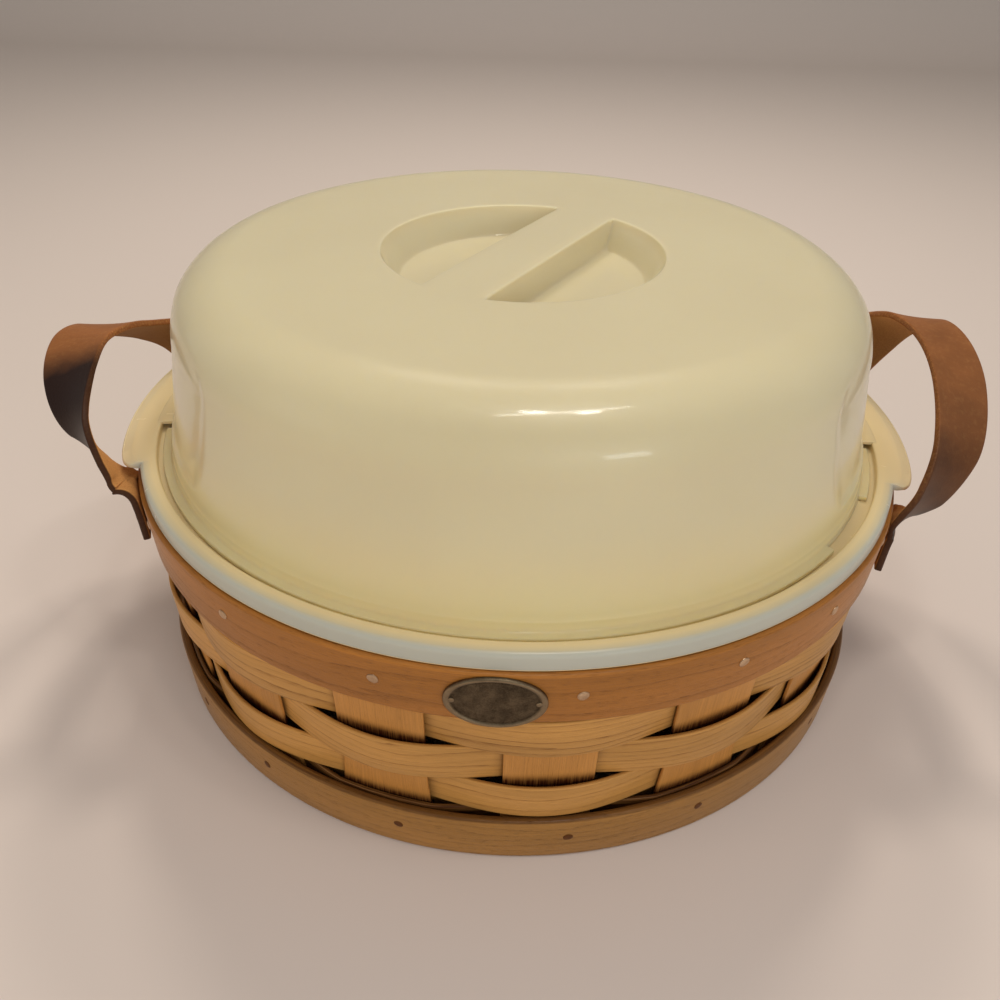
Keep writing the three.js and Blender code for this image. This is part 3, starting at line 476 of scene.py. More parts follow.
def plastic_skin():
    """Moulded plastic: a faint unevenness of the surface, light scuffs and slow tone changes. A mask
    from the piece's own shape turns the tint into a second colour of painted light."""
    tree, source, put_out = group("plastic_skin", ("Tint", "Side"), ("PaintedLightMask", "Rough"))
    slow = noise(tree, source["Place"], 14, 2)
    scuff = noise(tree, source["Place"], (90, 260, 90), 3, 0.6)
    tone = remap(tree, slow, 0.3, 0.7, 0.97, 1.02)
    # Painted light: a greyer painted reflection on the tray rim's outer face, a warmer glow low on the
    # lid
    tint = mix(tree, source["PaintedLightMask"], source["Tint"], source["Side"])
    scaled = node(tree, "VectorMath", {0: tint, 3: tone}, operation="SCALE").outputs[0]
    rough = calc(tree, "ADD", source["Rough"], remap(tree, scuff, 0.5, 0.8, 0, 0.05))
    put_out(scaled, rough, noise(tree, source["Place"], 60, 2))
    return tree


def linear(r, g, b):
    """Linear colour from 8-bit screen values."""
    return tuple((v / 255) ** 2.2 for v in (r, g, b)) + (1,)


def material(name, shared, bump, shader, inputs):
    """A Principled material whose colour, roughness and relief come from a shared group. Ash follows
    a strip's own run and the rest their place. The inputs are values, 8-bit screen colours, or the
    names of masks that the meshes carry."""
    made = bpy.data.materials.new(name)
    made.use_nodes = True
    tree = made.node_tree
    surface = tree.nodes["Principled BSDF"].inputs
    effect = tree.nodes.new("ShaderNodeGroup")
    effect.node_tree = shared
    if shared == ash:
        place = node(tree, "UVMap", uv_map="grain").outputs[0]
    else:
        place = node(tree, "TexCoord").outputs["Object"]
    tree.links.new(place, effect.inputs[0])
    for key, value in inputs.items():
        if isinstance(value, str):
            mask = node(tree, "Attribute", attribute_name=value).outputs["Fac"]
            tree.links.new(mask, effect.inputs[key])
        else:
            effect.inputs[key].default_value = linear(*value) if isinstance(value, tuple) else value
    tree.links.new(effect.outputs["Color"], surface["Base Color"])
    tree.links.new(effect.outputs["Roughness"], surface["Roughness"])
    relief = node(tree, "Bump", {"Height": effect.outputs["Height"], "Distance": bump, "Strength": 1.0})
    tree.links.new(relief.outputs[0], surface["Normal"])
    for key, value in shader.items():
        surface[key].default_value = value
    return made


ash = ash_grain()
hide = leather_grain()
metal = worn_metal()
plastic = plastic_skin()

# Painted shade colour for creases and for the places under and behind other strips
CREASE_SHADE_COLOR = (56, 26, 14)


def ash_look(name, light, dark, spacing, arch, lines, pores, specular):
    """A material of split ash with its own colours and kind of grain."""
    # The dark colour and its mask paint shade into the creases of the weave
    inputs = {"Light": light, "Dark": dark, "ShadeColor": CREASE_SHADE_COLOR, "Spacing": spacing}
    inputs.update({"Arch": arch, "Lines": lines, "Pores": pores, "CreaseShade": "crease_shade"})
    return material(name, ash, 0.0001, {"Specular IOR Level": specular}, inputs)


def metal_look(name, bright, dull, wear, bump):
    """A material of worn metal with its own colours, wear and depth of pits."""
    inputs = {"Bright": bright, "Dull": dull, "Wear": wear}
    return material(name, metal, bump, {"Metallic": 1.0}, inputs)


weaver_look = ash_look("woven_ash", (192, 140, 76), (116, 70, 30), 3.4, 15, 1.0, 0.35, 0.3)
stake_look = ash_look("upright_ash", (190, 132, 68), (122, 74, 32), 1.5, 2.5, 0.35, 0.4, 0.3)
band_look = ash_look("bent_ash", (163, 105, 46), (92, 53, 20), 4.2, 16, 0.6, 0.7, 0.35)
hoop_look = ash_look("hoop_ash", (158, 112, 56), (90, 60, 27), 3.4, 16, 0.7, 0.8, 0.35)
leather_look = material(
    "saddle_leather",
    hide,
    0.00015,
    {"Specular IOR Level": 0.3},
    # The near-black colour is painted shade
    {"Outside": (152, 96, 54), "Inside": (206, 150, 90), "Cut": (150, 92, 52), "Old": (38, 21, 13)}
    | {"Flesh": "flesh", "Edge": "edge", "Age": "outer_shade", "FleshShade": "flesh_shade"},
)
nail_look = metal_look("copper_nail", (224, 194, 160), (148, 108, 76), 0.7, 0.00003)
dark_nail_look = metal_look("dark_nail", (150, 104, 66), (84, 54, 34), 0.45, 0.00003)
badge_look = metal_look("aged_bronze", (150, 132, 106), (66, 56, 44), "wear", 0.00006)
tray_look = material(
    "cream_plastic",
    plastic,
    0.00002,
    {"Subsurface Weight": 0.15, "Subsurface Scale": 0.004, "Subsurface Radius": (1.0, 0.8, 0.5)},
    # The grey second colour is a painted reflection on the outer face of the rim
    {"Tint": (228, 208, 160), "Side": (180, 179, 164), "PaintedLightMask": "pale", "Rough": 0.24},
)
lid_look = material(
    "milky_plastic",
    plastic,
    0.00004,
    {"Transmission Weight": 0.25, "IOR": 1.45, "Coat Weight": 0.6, "Coat Roughness": 0.09}
    | {"Subsurface Weight": 1.0, "Subsurface Scale": 0.003, "Subsurface Radius": (1.0, 1.0, 1.0)},
    # The warm second colour is painted light, brightest at the dome's foot, where the cream tray shines
    # through
    {"Tint": (238, 224, 184), "Side": (250, 226, 172), "PaintedLightMask": "pale", "Rough": 0.34},
)


# Basket wall


def wall_ring(name, look, solid, spans, seed, radius, wave, crease_shade, steps):
    """A bent strip that closes round the wall, with its seam at the back: a rounded rectangle carried
    round the axis, leaning with the wall, with a slow waver and, for weavers, its swing in and out."""
    low, high, inner, outer = spans
    loop, run = rounded_box(outer - inner, high - low, radius, 4, 2)
    degrees = 180 + np.arange(steps) * 360 / steps
    a = np.radians(degrees)[:, None]
    swing = np.zeros_like(a) if wave is None else wave(degrees)[:, None]
    waver = 0.12 * np.sin(3 * a + seed) + 0.1 * np.sin(7 * a + 2.3 * seed)
    z = np.maximum((low + high) / 2 + loop[None, :, 1] + waver, 0)
    offset = (inner + outer) / 2 + loop[None, :, 0] + swing + 0.05 * np.sin(5 * a + seed)
    points = polar(stake_radius(z) + offset, degrees[:, None], z)
    # Painted shade where the strip lies in a crease or dives behind a stake
    painted_shade = 0 if crease_shade is None else crease_shade(degrees[:, None], loop[None, :, 0], loop[None, :, 1])
    along = np.linspace(0, 2 * math.pi * 160, steps + 1) + 1900 * seed
    grid = Grid(points, True, True, along, run + 40 * seed, crease_shade=painted_shade)
    make(name, [grid], look, "basket", solid)


def weaver_wave(row):
    """Swing of a weaver over and under the stakes, fuller over them than between them."""
    side = (-1) ** row
    limit = WEAVER_TIGHT if row == 3 else WEAVER_BULGE

    def wave(degrees):
        swing = np.cos(np.radians((degrees - STAKE_PHASE) * STAKE_COUNT / 2))
        return side * np.clip(WEAVER_BULGE * swing, -limit, limit)

    return wave


def weaver_crease_shade(row):
    """Painted shade on a weaver where it dives behind a stake. The lowest one, in the hoop's crease, is
    painted mostly dark all along.
    """
    wave = weaver_wave(row)
    least = 0.8 if row == 3 else 0
    return lambda degrees, out, up: np.maximum(0.5 * ease((-1.7 - wave(degrees)) / 1.1), least) + 0 * out


def hoop_crease_shade(degrees, out, up):
    """Painted shade on a hoop's upper edge, which lies in the crease under the weave."""
    return 0.62 * ease((up - (HOOP_TOP / 2 - 1.0)) / 0.6) + 0 * degrees


def stake_crease_shade(index, z):
    """Painted shade on a stake behind the outer top band, above the strip that passes outside it, and a
    little below the one over it.
    """
    covered = (0, 2) if index % 2 == 0 else (1, 3)
    painted_shade = 0.55 * ease((OUTER_BAND_LOW - 0.5 - z) / -1.5)
    for row in covered:
        low, high = WEAVER_ROWS[row]
        above = ease((high + 5.2 - z) / 5.5) * (z > (high + low) / 2)
        below = ease((z - (low - 1.6)) / 2.0) * (z <= (high + low) / 2)
        painted_shade = np.maximum(painted_shade, np.maximum(0.95 * above, 0.4 * below))
    return painted_shade


def splint(number, index, place_degrees, lengthwise, first_side, crossings):
    """One strip: down a stake, round the floor's edge, across the floor over and under its
    neighbours, and up the opposite stake."""
    edge = stake_radius(FLOOR_Z)
    bend = 4.0
    loop, run = rounded_box(STAKE_WIDTH, STAKE_THICKNESS, 0.4, 3, 8)
    v, t = loop[None, :, 0], loop[None, :, 1]
    place = edge * math.sin(math.radians(place_degrees))
    foot = np.degrees(np.arcsin((place + v) / edge))
    stake = place_degrees + np.degrees(v / stake_radius(50))
    heights = np.array([STAKE_TOP, 84, *np.arange(78, 20, -1.0), 17, 12, FLOOR_Z + bend])
    z = heights[:, None] + 0 * v
    share = ease((z - 12) / 24)
    turn = np.radians(np.linspace(90, 0, 6))[1:, None]
    r = np.concatenate([stake_radius(z) + t, edge - bend + (bend + t) * np.sin(turn)])
    z = np.concatenate([z, FLOOR_Z + bend - (bend + t) * np.cos(turn)])
    a = np.radians(np.concatenate([foot * (1 - share) + stake * share, foot + 0 * turn]))
    upper = np.stack([r * np.sin(a), r * np.cos(a), z], axis=-1)
    reach = np.sqrt((edge - bend) ** 2 - (place + v) ** 2)
    ordered = np.sort(crossings)
    ends = np.stack([ordered - STAKE_WIDTH / 2, ordered + STAKE_WIDTH / 2], axis=1).reshape(-1)
    stops = [-200, ends[0] - FLOOR_EASE, *ends, ends[-1] + FLOOR_EASE, 200]
    waves = FLOOR_WAVE * first_side * (-1.0) ** np.arange(len(ordered))
    levels = np.repeat([0, *waves, 0], 2)
    share = np.linspace(1, -1, 62)[1:-1, None]
    y = share * reach
    floor = np.stack([place + v + 0 * share, y, FLOOR_Z + np.interp(y, stops, levels) - t], axis=-1)
    path = np.concatenate([upper, floor, upper[::-1] * (1, -1, 1)])
    path = path * (1, -1, 1) if lengthwise else turned(path, -90)
    sections = capped(turned(path, STAKE_PHASE))
    along = run_along(sections[:, 0]) + 700 * number
    opposite = STAKE_COUNT // 2 - index if lengthwise else index
    near, far = stake_crease_shade(index, heights), stake_crease_shade(opposite, heights)
    # Painted shade: the floor inside the basket evenly, and each stake near the strips over it
    middle_rows = np.full(len(sections) - 2 * len(heights) - 2, 0.3)
    painted_shade = np.concatenate([far[:1], far, middle_rows, near[::-1], near[:1]])[:, None]
    grid = Grid(sections, False, True, along, run + 90 * number, crease_shade=painted_shade)
    name, solid = f"splint_strip_{number}", f"splint_{number}"
    make(name, [grid], stake_look, "basket", solid)


def build_wall():
    """The bands and hoops, the weavers, and the splints, which cross at the stakes' own places."""
    band_out, band_in = (BAND_INNER, BAND_OUTER), (-BAND_INNER - INNER_THICKNESS, -BAND_INNER)
    hoop_out, hoop_in = (HOOP_INNER, HOOP_OUTER), (-HOOP_INNER - INNER_THICKNESS, -HOOP_INNER)
    pieces = (
        ("top_band_outside", (OUTER_BAND_LOW, BAND_TOP, *band_out), 1.1, None, "outer_top_band"),
        ("top_band_inside", (INNER_BAND_LOW, BAND_TOP, *band_in), 1, None, "inner_top_band"),
        ("bottom_hoop_outside", (0, HOOP_TOP, *hoop_out), 1.1, hoop_crease_shade, "outer_bottom_hoop"),
        ("bottom_hoop_inside", (INNER_HOOP_LOW, HOOP_TOP, *hoop_in), 0.9, None, "inner_bottom_hoop"),
    )
    for seed, (name, spans, radius, crease_shade, solid) in enumerate(pieces):
        look = hoop_look if "hoop" in name else band_look
        wall_ring(name, look, solid, spans, seed + 1, radius, None, crease_shade, 384)
    for row, (low, high) in enumerate(WEAVER_ROWS):
        spans = (low, high, -WEAVER_THICKNESS / 2, WEAVER_THICKNESS / 2)
        name, solid = f"weaver_strip_{row + 1}", f"weaver_{row + 1}"
        wave, crease_shade = weaver_wave(row), weaver_crease_shade(row)
        wall_ring(name, weaver_look, solid, spans, row + 6, 0.6, wave, crease_shade, 640)
    edge = stake_radius(FLOOR_Z)
    lengthwise, crosswise = (-2, -1, 0, 1, 2), (3, 4, 5)
    places = [edge * math.sin(math.radians(k * PITCH)) for k in lengthwise]
    cross_places = [edge * math.sin(math.radians(90 - k * PITCH)) for k in crosswise]
    for i, k in enumerate(lengthwise):
        splint(i + 1, k, k * PITCH, True, (-1) ** i, cross_places)
    for j, k in enumerate(crosswise):
        splint(j + 6, k, 90 - k * PITCH, False, -((-1) ** j), places)


def wall_matrix(radius, degrees, z):
    """Frame on the leaning wall: x across, y up, z outward, in mm."""
    out = Vector(polar(1, degrees, -WALL_FLARE)).normalized()
    across = Vector(polar(1, degrees + 90, 0))
    up = out.cross(across)
    turn = Matrix((across, up, out)).transposed().to_4x4()
    return Matrix.Translation(Vector(polar(radius, degrees, z))) @ turn


def head_grid(profile, matrix, seed, segments=20, wobble=0.05):
    """A nail's or rivet's head and shank, turned about its own axis, slightly out of round."""
    profile = np.array(profile, dtype=float)
    a = np.arange(segments) * 2 * math.pi / segments
    swell = 1 + wobble * np.sin(2 * a + seed) + 0.5 * wobble * np.sin(3 * a + 2 * seed)
    r, z = profile[:, 0, None] * swell, profile[:, 1, None]
    points = np.stack(np.broadcast_arrays(r * np.cos(a), r * np.sin(a), z), axis=-1)
    turn = np.array(matrix)
    return Grid(points @ turn[:3, :3].T + turn[:3, 3])


def head_profile(radius, height, sink=1.6):
    """Domed head with a rounded edge, closed underneath where it sinks into the wood."""
    a = np.radians(np.linspace(90, 0, 7))
    dome = [(radius * math.cos(t) ** 0.8, height * (0.35 + 0.65 * math.sin(t))) for t in a]
    dome[0] = (0, height)
    return dome + [(radius, 0.0), (radius * 0.55, -0.2), (radius * 0.5, -sink), (0, -sink)]


def top_nail_angle(k):
    """Angle of a top nail: its stake's middle, its drift, and clear of the strap tails."""
    degrees = STAKE_PHASE + k * PITCH + NAIL_DRIFT[k % 8]
    seat = stake_radius(TOP_NAIL_Z) + BAND_OUTER + 0.3
    least = math.degrees((STRAP_WIDTH / 2 + 3.7) / seat)
    for tail in mirrored(FOOT_ANGLE):
        off = degrees - tail
        if abs(off) < least:
            return tail + math.copysign(least, off)
    return degrees


def build_nails():
    """A nail at each stake through the top bands and another through the hoops, and a rivet in the
    middle of each strap tail, each head standing square to the leaning wall."""
    grids = []
    for k in range(STAKE_COUNT):
        radius = stake_radius(TOP_NAIL_Z) + BAND_OUTER - 0.05
        matrix = wall_matrix(radius, top_nail_angle(k), TOP_NAIL_Z)
        grid = head_grid(head_profile(2.05, 0.7), matrix, k)
        make(f"nail_head_{k + 1}", [grid], nail_look, "basket", f"top_nail_{k + 1}")
        degrees = STAKE_PHASE + k * PITCH + HOOP_NAIL_DRIFT[k % 8]
        matrix = wall_matrix(stake_radius(HOOP_NAIL_Z) + HOOP_OUTER - 0.25, degrees, HOOP_NAIL_Z)
        grids.append(head_grid(head_profile(1.9, 0.5), matrix, 3 * k + 1))
    make("hoop_nails", grids, dark_nail_look, "basket")
    for side, name in ((1, "right"), (-1, "left")):
        for along, near in ((-1, "front"), (1, "back")):
            degrees = side * (90 + along * FOOT_ANGLE)
            radius = stake_radius(RIVET_Z) + BAND_OUTER + 0.9 + STRAP_THICKNESS - 0.2
            matrix = wall_matrix(radius, degrees, RIVET_Z)
            grid = head_grid(head_profile(4, 1.5), matrix, along + 2, 32, 0.01)
            solid = f"{name}_{near}_rivet"
            make(f"strap_rivet_{name}_{near}", [grid], dark_nail_look, "basket", solid)


def build_badge():
    """A curved oval plate with a raised edge and a sunken ground, held by two small pins. Its rings
    give the share of the half width and half height, the height over the band and the wear."""
    base = stake_radius(BADGE_Z) + BAND_OUTER + 0.25
    rings = (
        (0, 1.0, 0.3),
        (0.3, 1.0, 0.3),
        (0.6, 0.95, 0.28),
        (0.78, 0.9, 0.25),
        (0.84, 0.85, 0.15),
        (0.865, 0.95, 0.4),
        (0.885, 1.3, 0.9),
        (0.91, 1.5, 1.0),
        (0.94, 1.52, 1.0),
        (0.97, 1.45, 0.9),
        (0.99, 1.2, 0.7),
        (1.0, 0.8, 0.5),
        (1.0, 0.1, 0.2),
        (0.97, 0, 0.2),
        (0, 0, 0.2),
    )
    share, height, wear = (np.array(column, dtype=float)[:, None] for column in zip(*rings))
    a = np.radians(np.arange(96) * 3.75)
    across = share * BADGE_HALF_WIDTH * np.cos(a)
    up = share * BADGE_HALF_HEIGHT * np.sin(a)
    degrees = BADGE_ANGLE + np.degrees(across / base)
    points = polar(base + WALL_FLARE * up + height, degrees, BADGE_Z + up)
    plate = Grid(points, False, True, wear=wear)
    make("badge_plate", [plate], badge_look, "basket", "front_badge")
    for side, solid in ((-1, "badge_left_pin"), (1, "badge_right_pin")):
        degrees = BADGE_ANGLE + side * math.degrees(BADGE_PIN_REACH / (base + 1))
        grid = head_grid(head_profile(1.1, 0.55, 1.0), wall_matrix(base + 0.85, degrees, BADGE_Z), side)
        grid.values = {"wear": 0.9}
        make(solid + "_head", [grid], badge_look, "basket", solid)


# Straps


def through(points, places):
    """Centripetal Catmull-Rom curve through points, at places counted in points, and its tangent."""
    points = np.asarray(points, dtype=float)
    padded = np.vstack([2 * points[0] - points[1], points, 2 * points[-1] - points[-2]])
    i = np.minimum(places.astype(int), len(points) - 2)
    u = (places - i)[:, None]
    p0, p1, p2, p3 = (padded[i + k] for k in range(4))
    gap = lambda a, b: np.sqrt(np.maximum(np.linalg.norm(b - a, axis=1), 1e-4))[:, None]
    d0, d1, d2 = gap(p0, p1), gap(p1, p2), gap(p2, p3)
    m1 = ((p1 - p0) / d0 - (p2 - p0) / (d0 + d1) + (p2 - p1) / d1) * d1
    m2 = ((p2 - p1) / d1 - (p3 - p1) / (d1 + d2) + (p3 - p2) / d2) * d1
    c2 = -3 * p1 + 3 * p2 - 2 * m1 - m2
    c3 = 2 * p1 - 2 * p2 + m1 + m2
    return p1 + m1 * u + c2 * u**2 + c3 * u**3, m1 + 2 * c2 * u + 3 * c3 * u**2


def strap(name, stations, outer_shades, side):
    """A leather strap: a rounded flat section carried along the curve through its stations, a little
    cupped. Its masks tell the flesh side, the cut edges, and the painted shade along it, on the outer
    face and on the flesh side."""
    out, share, up, turn, dip = np.array(stations, dtype=float).T
    foot_out = FOOT_RADIUS * math.cos(math.radians(FOOT_ANGLE))
    foot_along = FOOT_RADIUS * math.sin(math.radians(FOOT_ANGLE))
    line = np.stack([foot_out + out, foot_along * share, BAND_TOP + up], axis=1)
    turn, dip = np.radians(turn), np.radians(dip)
    widths = np.stack([np.cos(turn) * np.cos(dip), np.sin(turn) * np.cos(dip), -np.sin(dip)], axis=1)
    places = np.linspace(0, len(stations) - 1, 16 * (len(stations) - 1) + 1)
    middle, tangent = through(line, places)
    tangent /= np.linalg.norm(tangent, axis=1)[:, None]
    width = through(widths, places)[0]
    width -= np.sum(width * tangent, axis=1)[:, None] * tangent
    width /= np.linalg.norm(width, axis=1)[:, None]
    face = np.cross(tangent, width)
    loop, run = rounded_box(STRAP_WIDTH, STRAP_THICKNESS, 0.9, 5, 16)
    cup = 0.25 * (np.abs(loop[:, 0]) / (STRAP_WIDTH / 2)) ** 2
    x = loop[None, :, 0, None]
    y = (loop[:, 1] - cup)[None, :, None]
    points = middle[:, None] + x * width[:, None] + y * face[:, None]
    points[..., 0] *= side
    run_line = run_along(middle)
    off = loop[:, 1] / (STRAP_THICKNESS / 2)
    sections = capped(points)
    flesh = ease((off - 0.1) / 0.8)
    edge = ease((np.abs(loop[:, 0]) - (STRAP_WIDTH / 2 - 0.75)) / 0.7) * (np.abs(off) < 0.85)
    edge = np.tile(edge, (len(sections), 1))
    edge[[0, -1]] = 1
    padded = np.pad(places, 1, mode="edge")[:, None]
    # Painted shade along the strap, on the outer face and on the flesh side
    outer_shade = np.interp(padded, *np.transpose(outer_shades))
    flesh_shade = np.interp(padded, *np.transpose(FLESH_SHADE))
    along = np.concatenate([[run_line[0] - 1], run_line, [run_line[-1] + 1]])
    grid = Grid(sections, False, True, along, run, flesh=flesh, edge=edge, outer_shade=outer_shade, flesh_shade=flesh_shade)
    piece = make(f"{name}_strap", [grid], leather_look, sharp=60)
    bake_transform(piece)
    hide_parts(f"{name}_handle_loop", f"{name}_handle_front_tail", f"{name}_handle_back_tail")


# Tray


def spread_angles(marks, step):
    """Angles round the axis: even steps, with close ones on both sides of each mark."""
    near = (0, 0.1, 0.2, 0.35, 0.6, 1, 1.6)
    close = [m + side * d for m in marks for side in (-1, 1) for d in near]
    angles = np.concatenate([np.arange(0, 360, step), np.mod(close, 360)])
    return np.unique(np.round(angles, 4))


def fillet(centre, radius, start, end, steps=5):
    """Points of an arc about a centre from a start angle to an end angle."""
    a = np.radians(np.linspace(start, end, steps))
    return [(centre[0] + radius * math.cos(t), centre[1] + radius * math.sin(t)) for t in a]


def build_tray():
    """One turned profile from the floor's middle out over the ledge and rim and back underneath. At
    the tabs the rim's corner reaches out into a plate that slopes down beyond its crease."""
    degrees = spread_angles(mirrored(90 - TAB_START) + mirrored(HOOK_SLOT_HALF_ANGLE), 1.0)
    off = np.abs(np.mod(degrees, 180) - 90)
    share = np.clip(off / (90 - TAB_START), 0, 1)
    inside = ease((90 - TAB_START + 0.06 - off) / 0.12)
    reach = inside * (TAB_REACH * np.power(1 - share**12, 0.3) + 0.01)
    slot = ease((HOOK_SLOT_HALF_ANGLE - off) / 0.25 + 0.5)
    r, t = RIM_RADIUS, RIM_TOP
    plain = fillet((r - 2, t - 2), 2, 90, 0, 9) + [(r, 104.6), (r, 104.2)]
    tab = [(r - 2, t), (r + 1, t), (r + 2.8, t)]
    tab += [(r + 3.3, t - 0.12), (r + 6.6, t - 1.12)]
    tab += fillet((r + 6.6, t - 1.85), 0.9, 70, -60, 4)
    tab += [(r + 4, t - 2.9), (r + 0.6, t - 2.6)]
    floor = TRAY_FLOOR
    well = WELL_RADIUS
    before = [(0, floor), (60, floor), (110, floor), (130, floor)]
    before += fillet((well - 2.5 - 3, floor + 3), 3, -90, -8, 6)
    before += fillet((well + 0.9, LEDGE_TOP - 1), 1, 172, 90, 4)
    groove = len(before)
    before += [(152.9, LEDGE_TOP), (153.2, LEDGE_TOP), (155.3, LEDGE_TOP), (155.6, LEDGE_TOP)]
    before += fillet((LEDGE_OUTSIDE - 0.7, LEDGE_TOP + 0.7), 0.7, -90, 0, 4)
    before += fillet((LEDGE_OUTSIDE + 1, t - 1), 1, 180, 90, 5)
    before += [(160.5, t)]
    under = LEDGE_TOP - TRAY_WALL
    after = [(r, 101)]
    after += fillet((r - 0.5, RIM_FOOT + 0.5), 0.5, 0, -90, 3)
    after += [(r - TRAY_WALL, RIM_FOOT), (r - TRAY_WALL, t - TRAY_WALL)]
    after += [(LEDGE_OUTSIDE + TRAY_WALL, t - TRAY_WALL), (LEDGE_OUTSIDE + TRAY_WALL, under)]
    guide, guide_foot = GUIDE_RADIUS, under - GUIDE_HEIGHT
    after += [(guide, under), (guide, guide_foot + 0.4), (guide - 0.5, guide_foot)]
    after += [(guide - TRAY_WALL, guide_foot), (guide - TRAY_WALL, under)]
    bottom = floor - TRAY_WALL
    after += [(well + 3.2, under), (well + 2, under - 1), (well - 0.2, floor - 0.8), (well - 1.6, bottom)]
    ring, ring_out, foot = STAND_RADIUS, STAND_RADIUS + TRAY_WALL, bottom - STAND_HEIGHT
    after += [(ring_out, bottom), (ring_out, foot + 0.2), (ring_out - 0.4, foot), (ring + 0.4, foot)]
    after += [(ring, foot + 0.2), (ring, bottom), (60, bottom), (0, bottom)]
    first = len(before)
    last = first + len(plain)
    columns = last + len(after)
    profile = np.zeros((len(degrees), columns, 2))
    profile[:, :first] = np.array(before)
    profile[:, groove + 1 : groove + 3, 1] -= 2.0 * slot[:, None]
    weight = np.clip(reach / TAB_REACH, 0, 1)[:, None, None]
    profile[:, first:last] = np.array(plain) * (1 - weight) + np.array(tab) * weight
    profile[:, last:] = np.array(after)
    points = polar(profile[..., 0], degrees[:, None], profile[..., 1])
    # Painted reflection: the rim's rounded corner and outer face turn grey, less so on the tabs
    pale = np.zeros(columns)
    pale[first : first + 4] = (0.45, 0.65, 0.8, 0.92)
    pale[first + 4 : last + 1] = 1
    pale = np.broadcast_to(pale, (len(degrees), columns)) * (1 - 0.8 * weight[:, :, 0])
    shell = Grid(points, True, False, pale=pale)
    loop = rounded_box(HOOK_WIDTH, HOOK_THICKNESS, 0.5, 4, 2)[0]
    hooks = []
    for middle in (90, 270):
        end = HOOK_HALF_ANGLE - np.array([0.2, 0.05, 0])
        a = np.concatenate([-end[::-1], np.linspace(-7, 7, 15), end]) + middle
        shrink = np.array([0.8, 0.93, 0.99] + [1] * 15 + [0.99, 0.93, 0.8])[:, None]
        radius = HOOK_RADIUS + loop[None, :, 0] * (1 - (1 - shrink) * 0.15)
        z = HOOK_Z + loop[None, :, 1] * shrink
        hooks.append(Grid(capped(polar(radius, a[:, None], z)), pale=0))
    make("moulded_tray", [shell] + hooks, tray_look, "tray", "cake_tray", 35)


# Lid


def crown_height(radius):
    """Height of the crown at a radius, a shallow paraboloid that is level at the axis."""
    return LID_TOP + LID_CROWN * (1 - np.clip(radius / (SHOULDER_RADIUS - SHOULDER), 0, 1) ** 2)


# Ends of the lid's side panels: height, angle of the outer edge, and width of its sloping border
PANEL_Z = (115.5, 119, 123, 130, 137, 145, 153, 159, 164, 167, 169.5)
PANEL_EDGE = (54.5, 52.6, 51.5, 50.4, 49.7, 49.5, 49.4, 49.7, 51, 53.5, 58)
PANEL_BORDER = (1.5, 4.2, 5.0, 4.8, 4.3, 3.8, 3.0, 2.2, 2.0, 2.0, 2.0)

# How deep a panel lies below the wall, from its foot up: height and depth
SINK_Z = (115.2, 116.2, 118, 122, 134, 155, 164, 170.5)
SINK_DEPTH = (0, 0.7, 1.3, 1.5, 1.0, 0.8, 0.6, 0)


def wall_sink(degrees, z):
    """How far the lid's wall sinks into its side panels at an angle and a height. A panel's end is a
    curved border that slopes from the wall down to it, wide and deep at the foot."""
    off = np.abs(np.mod(degrees, 180) - 90)
    edge = 90 - np.interp(z, PANEL_Z, PANEL_EDGE)
    side = ease((edge - off) / np.interp(z, PANEL_Z, PANEL_BORDER))
    return side * np.interp(z, SINK_Z, SINK_DEPTH)


def dome_profile(degrees, inset):
    """Wall, shoulder and crown from the foot up to the ring round the recess, moved in by inset."""
    foot = [LID_FOOT, 112, 114, 115.2, 115.7]
    z = np.concatenate([foot, np.arange(116.2, SHOULDER_LOW - 0.5, 1.6), [SHOULDER_LOW]])
    share = (z - LID_FOOT) / (SHOULDER_LOW - LID_FOOT)
    r = LID_FOOT_RADIUS - (LID_FOOT_RADIUS - SHOULDER_RADIUS) * share - inset
    a = np.radians(np.linspace(0, 90, 25))[1:]
    arc_r = SHOULDER_RADIUS - SHOULDER + (SHOULDER - inset) * np.cos(a)
    arc_z = SHOULDER_LOW + (SHOULDER - inset) * np.sin(a)
    crown_r = np.linspace(SHOULDER_RADIUS - SHOULDER, RECESS_RING, 14)[1:]
    r = np.concatenate([r, arc_r, crown_r])[None, :]
    z = np.concatenate([z, arc_z, crown_height(crown_r) - inset])[None, :]
    return r - wall_sink(degrees[:, None], z), z + 0 * degrees[:, None]


def half_outline(radius, bar, corner, counts):
    """Outline of a circle's segment beside the bar with rounded corners, as two stretches from
    corner middle to corner middle, each spread evenly into the counts given."""
    cy = math.sqrt((radius - corner) ** 2 - (bar + corner) ** 2)
    centre = (bar + corner, cy)
    start = math.degrees(math.atan2(cy, bar + corner))
    mid = (start + 180) / 2
    round_side = fillet((0, 0), radius, -start, start, 200) + fillet(centre, corner, start, mid, 12)
    round_side = fillet((centre[0], -cy), corner, -mid, -start, 12) + round_side
    line_side = fillet(centre, corner, mid, 180, 12)
    line_side += fillet((centre[0], -cy), corner, 180, 360 - mid, 12)
    stretches = []
    for points, count in zip((round_side, line_side), counts):
        points = np.array(points)
        run = run_along(points)
        at = np.linspace(0, run[-1], count)
        stretches.append(np.stack([np.interp(at, run, points[:, i]) for i in range(2)], axis=1))
    return np.concatenate([stretches[0], stretches[1][1:-1]])


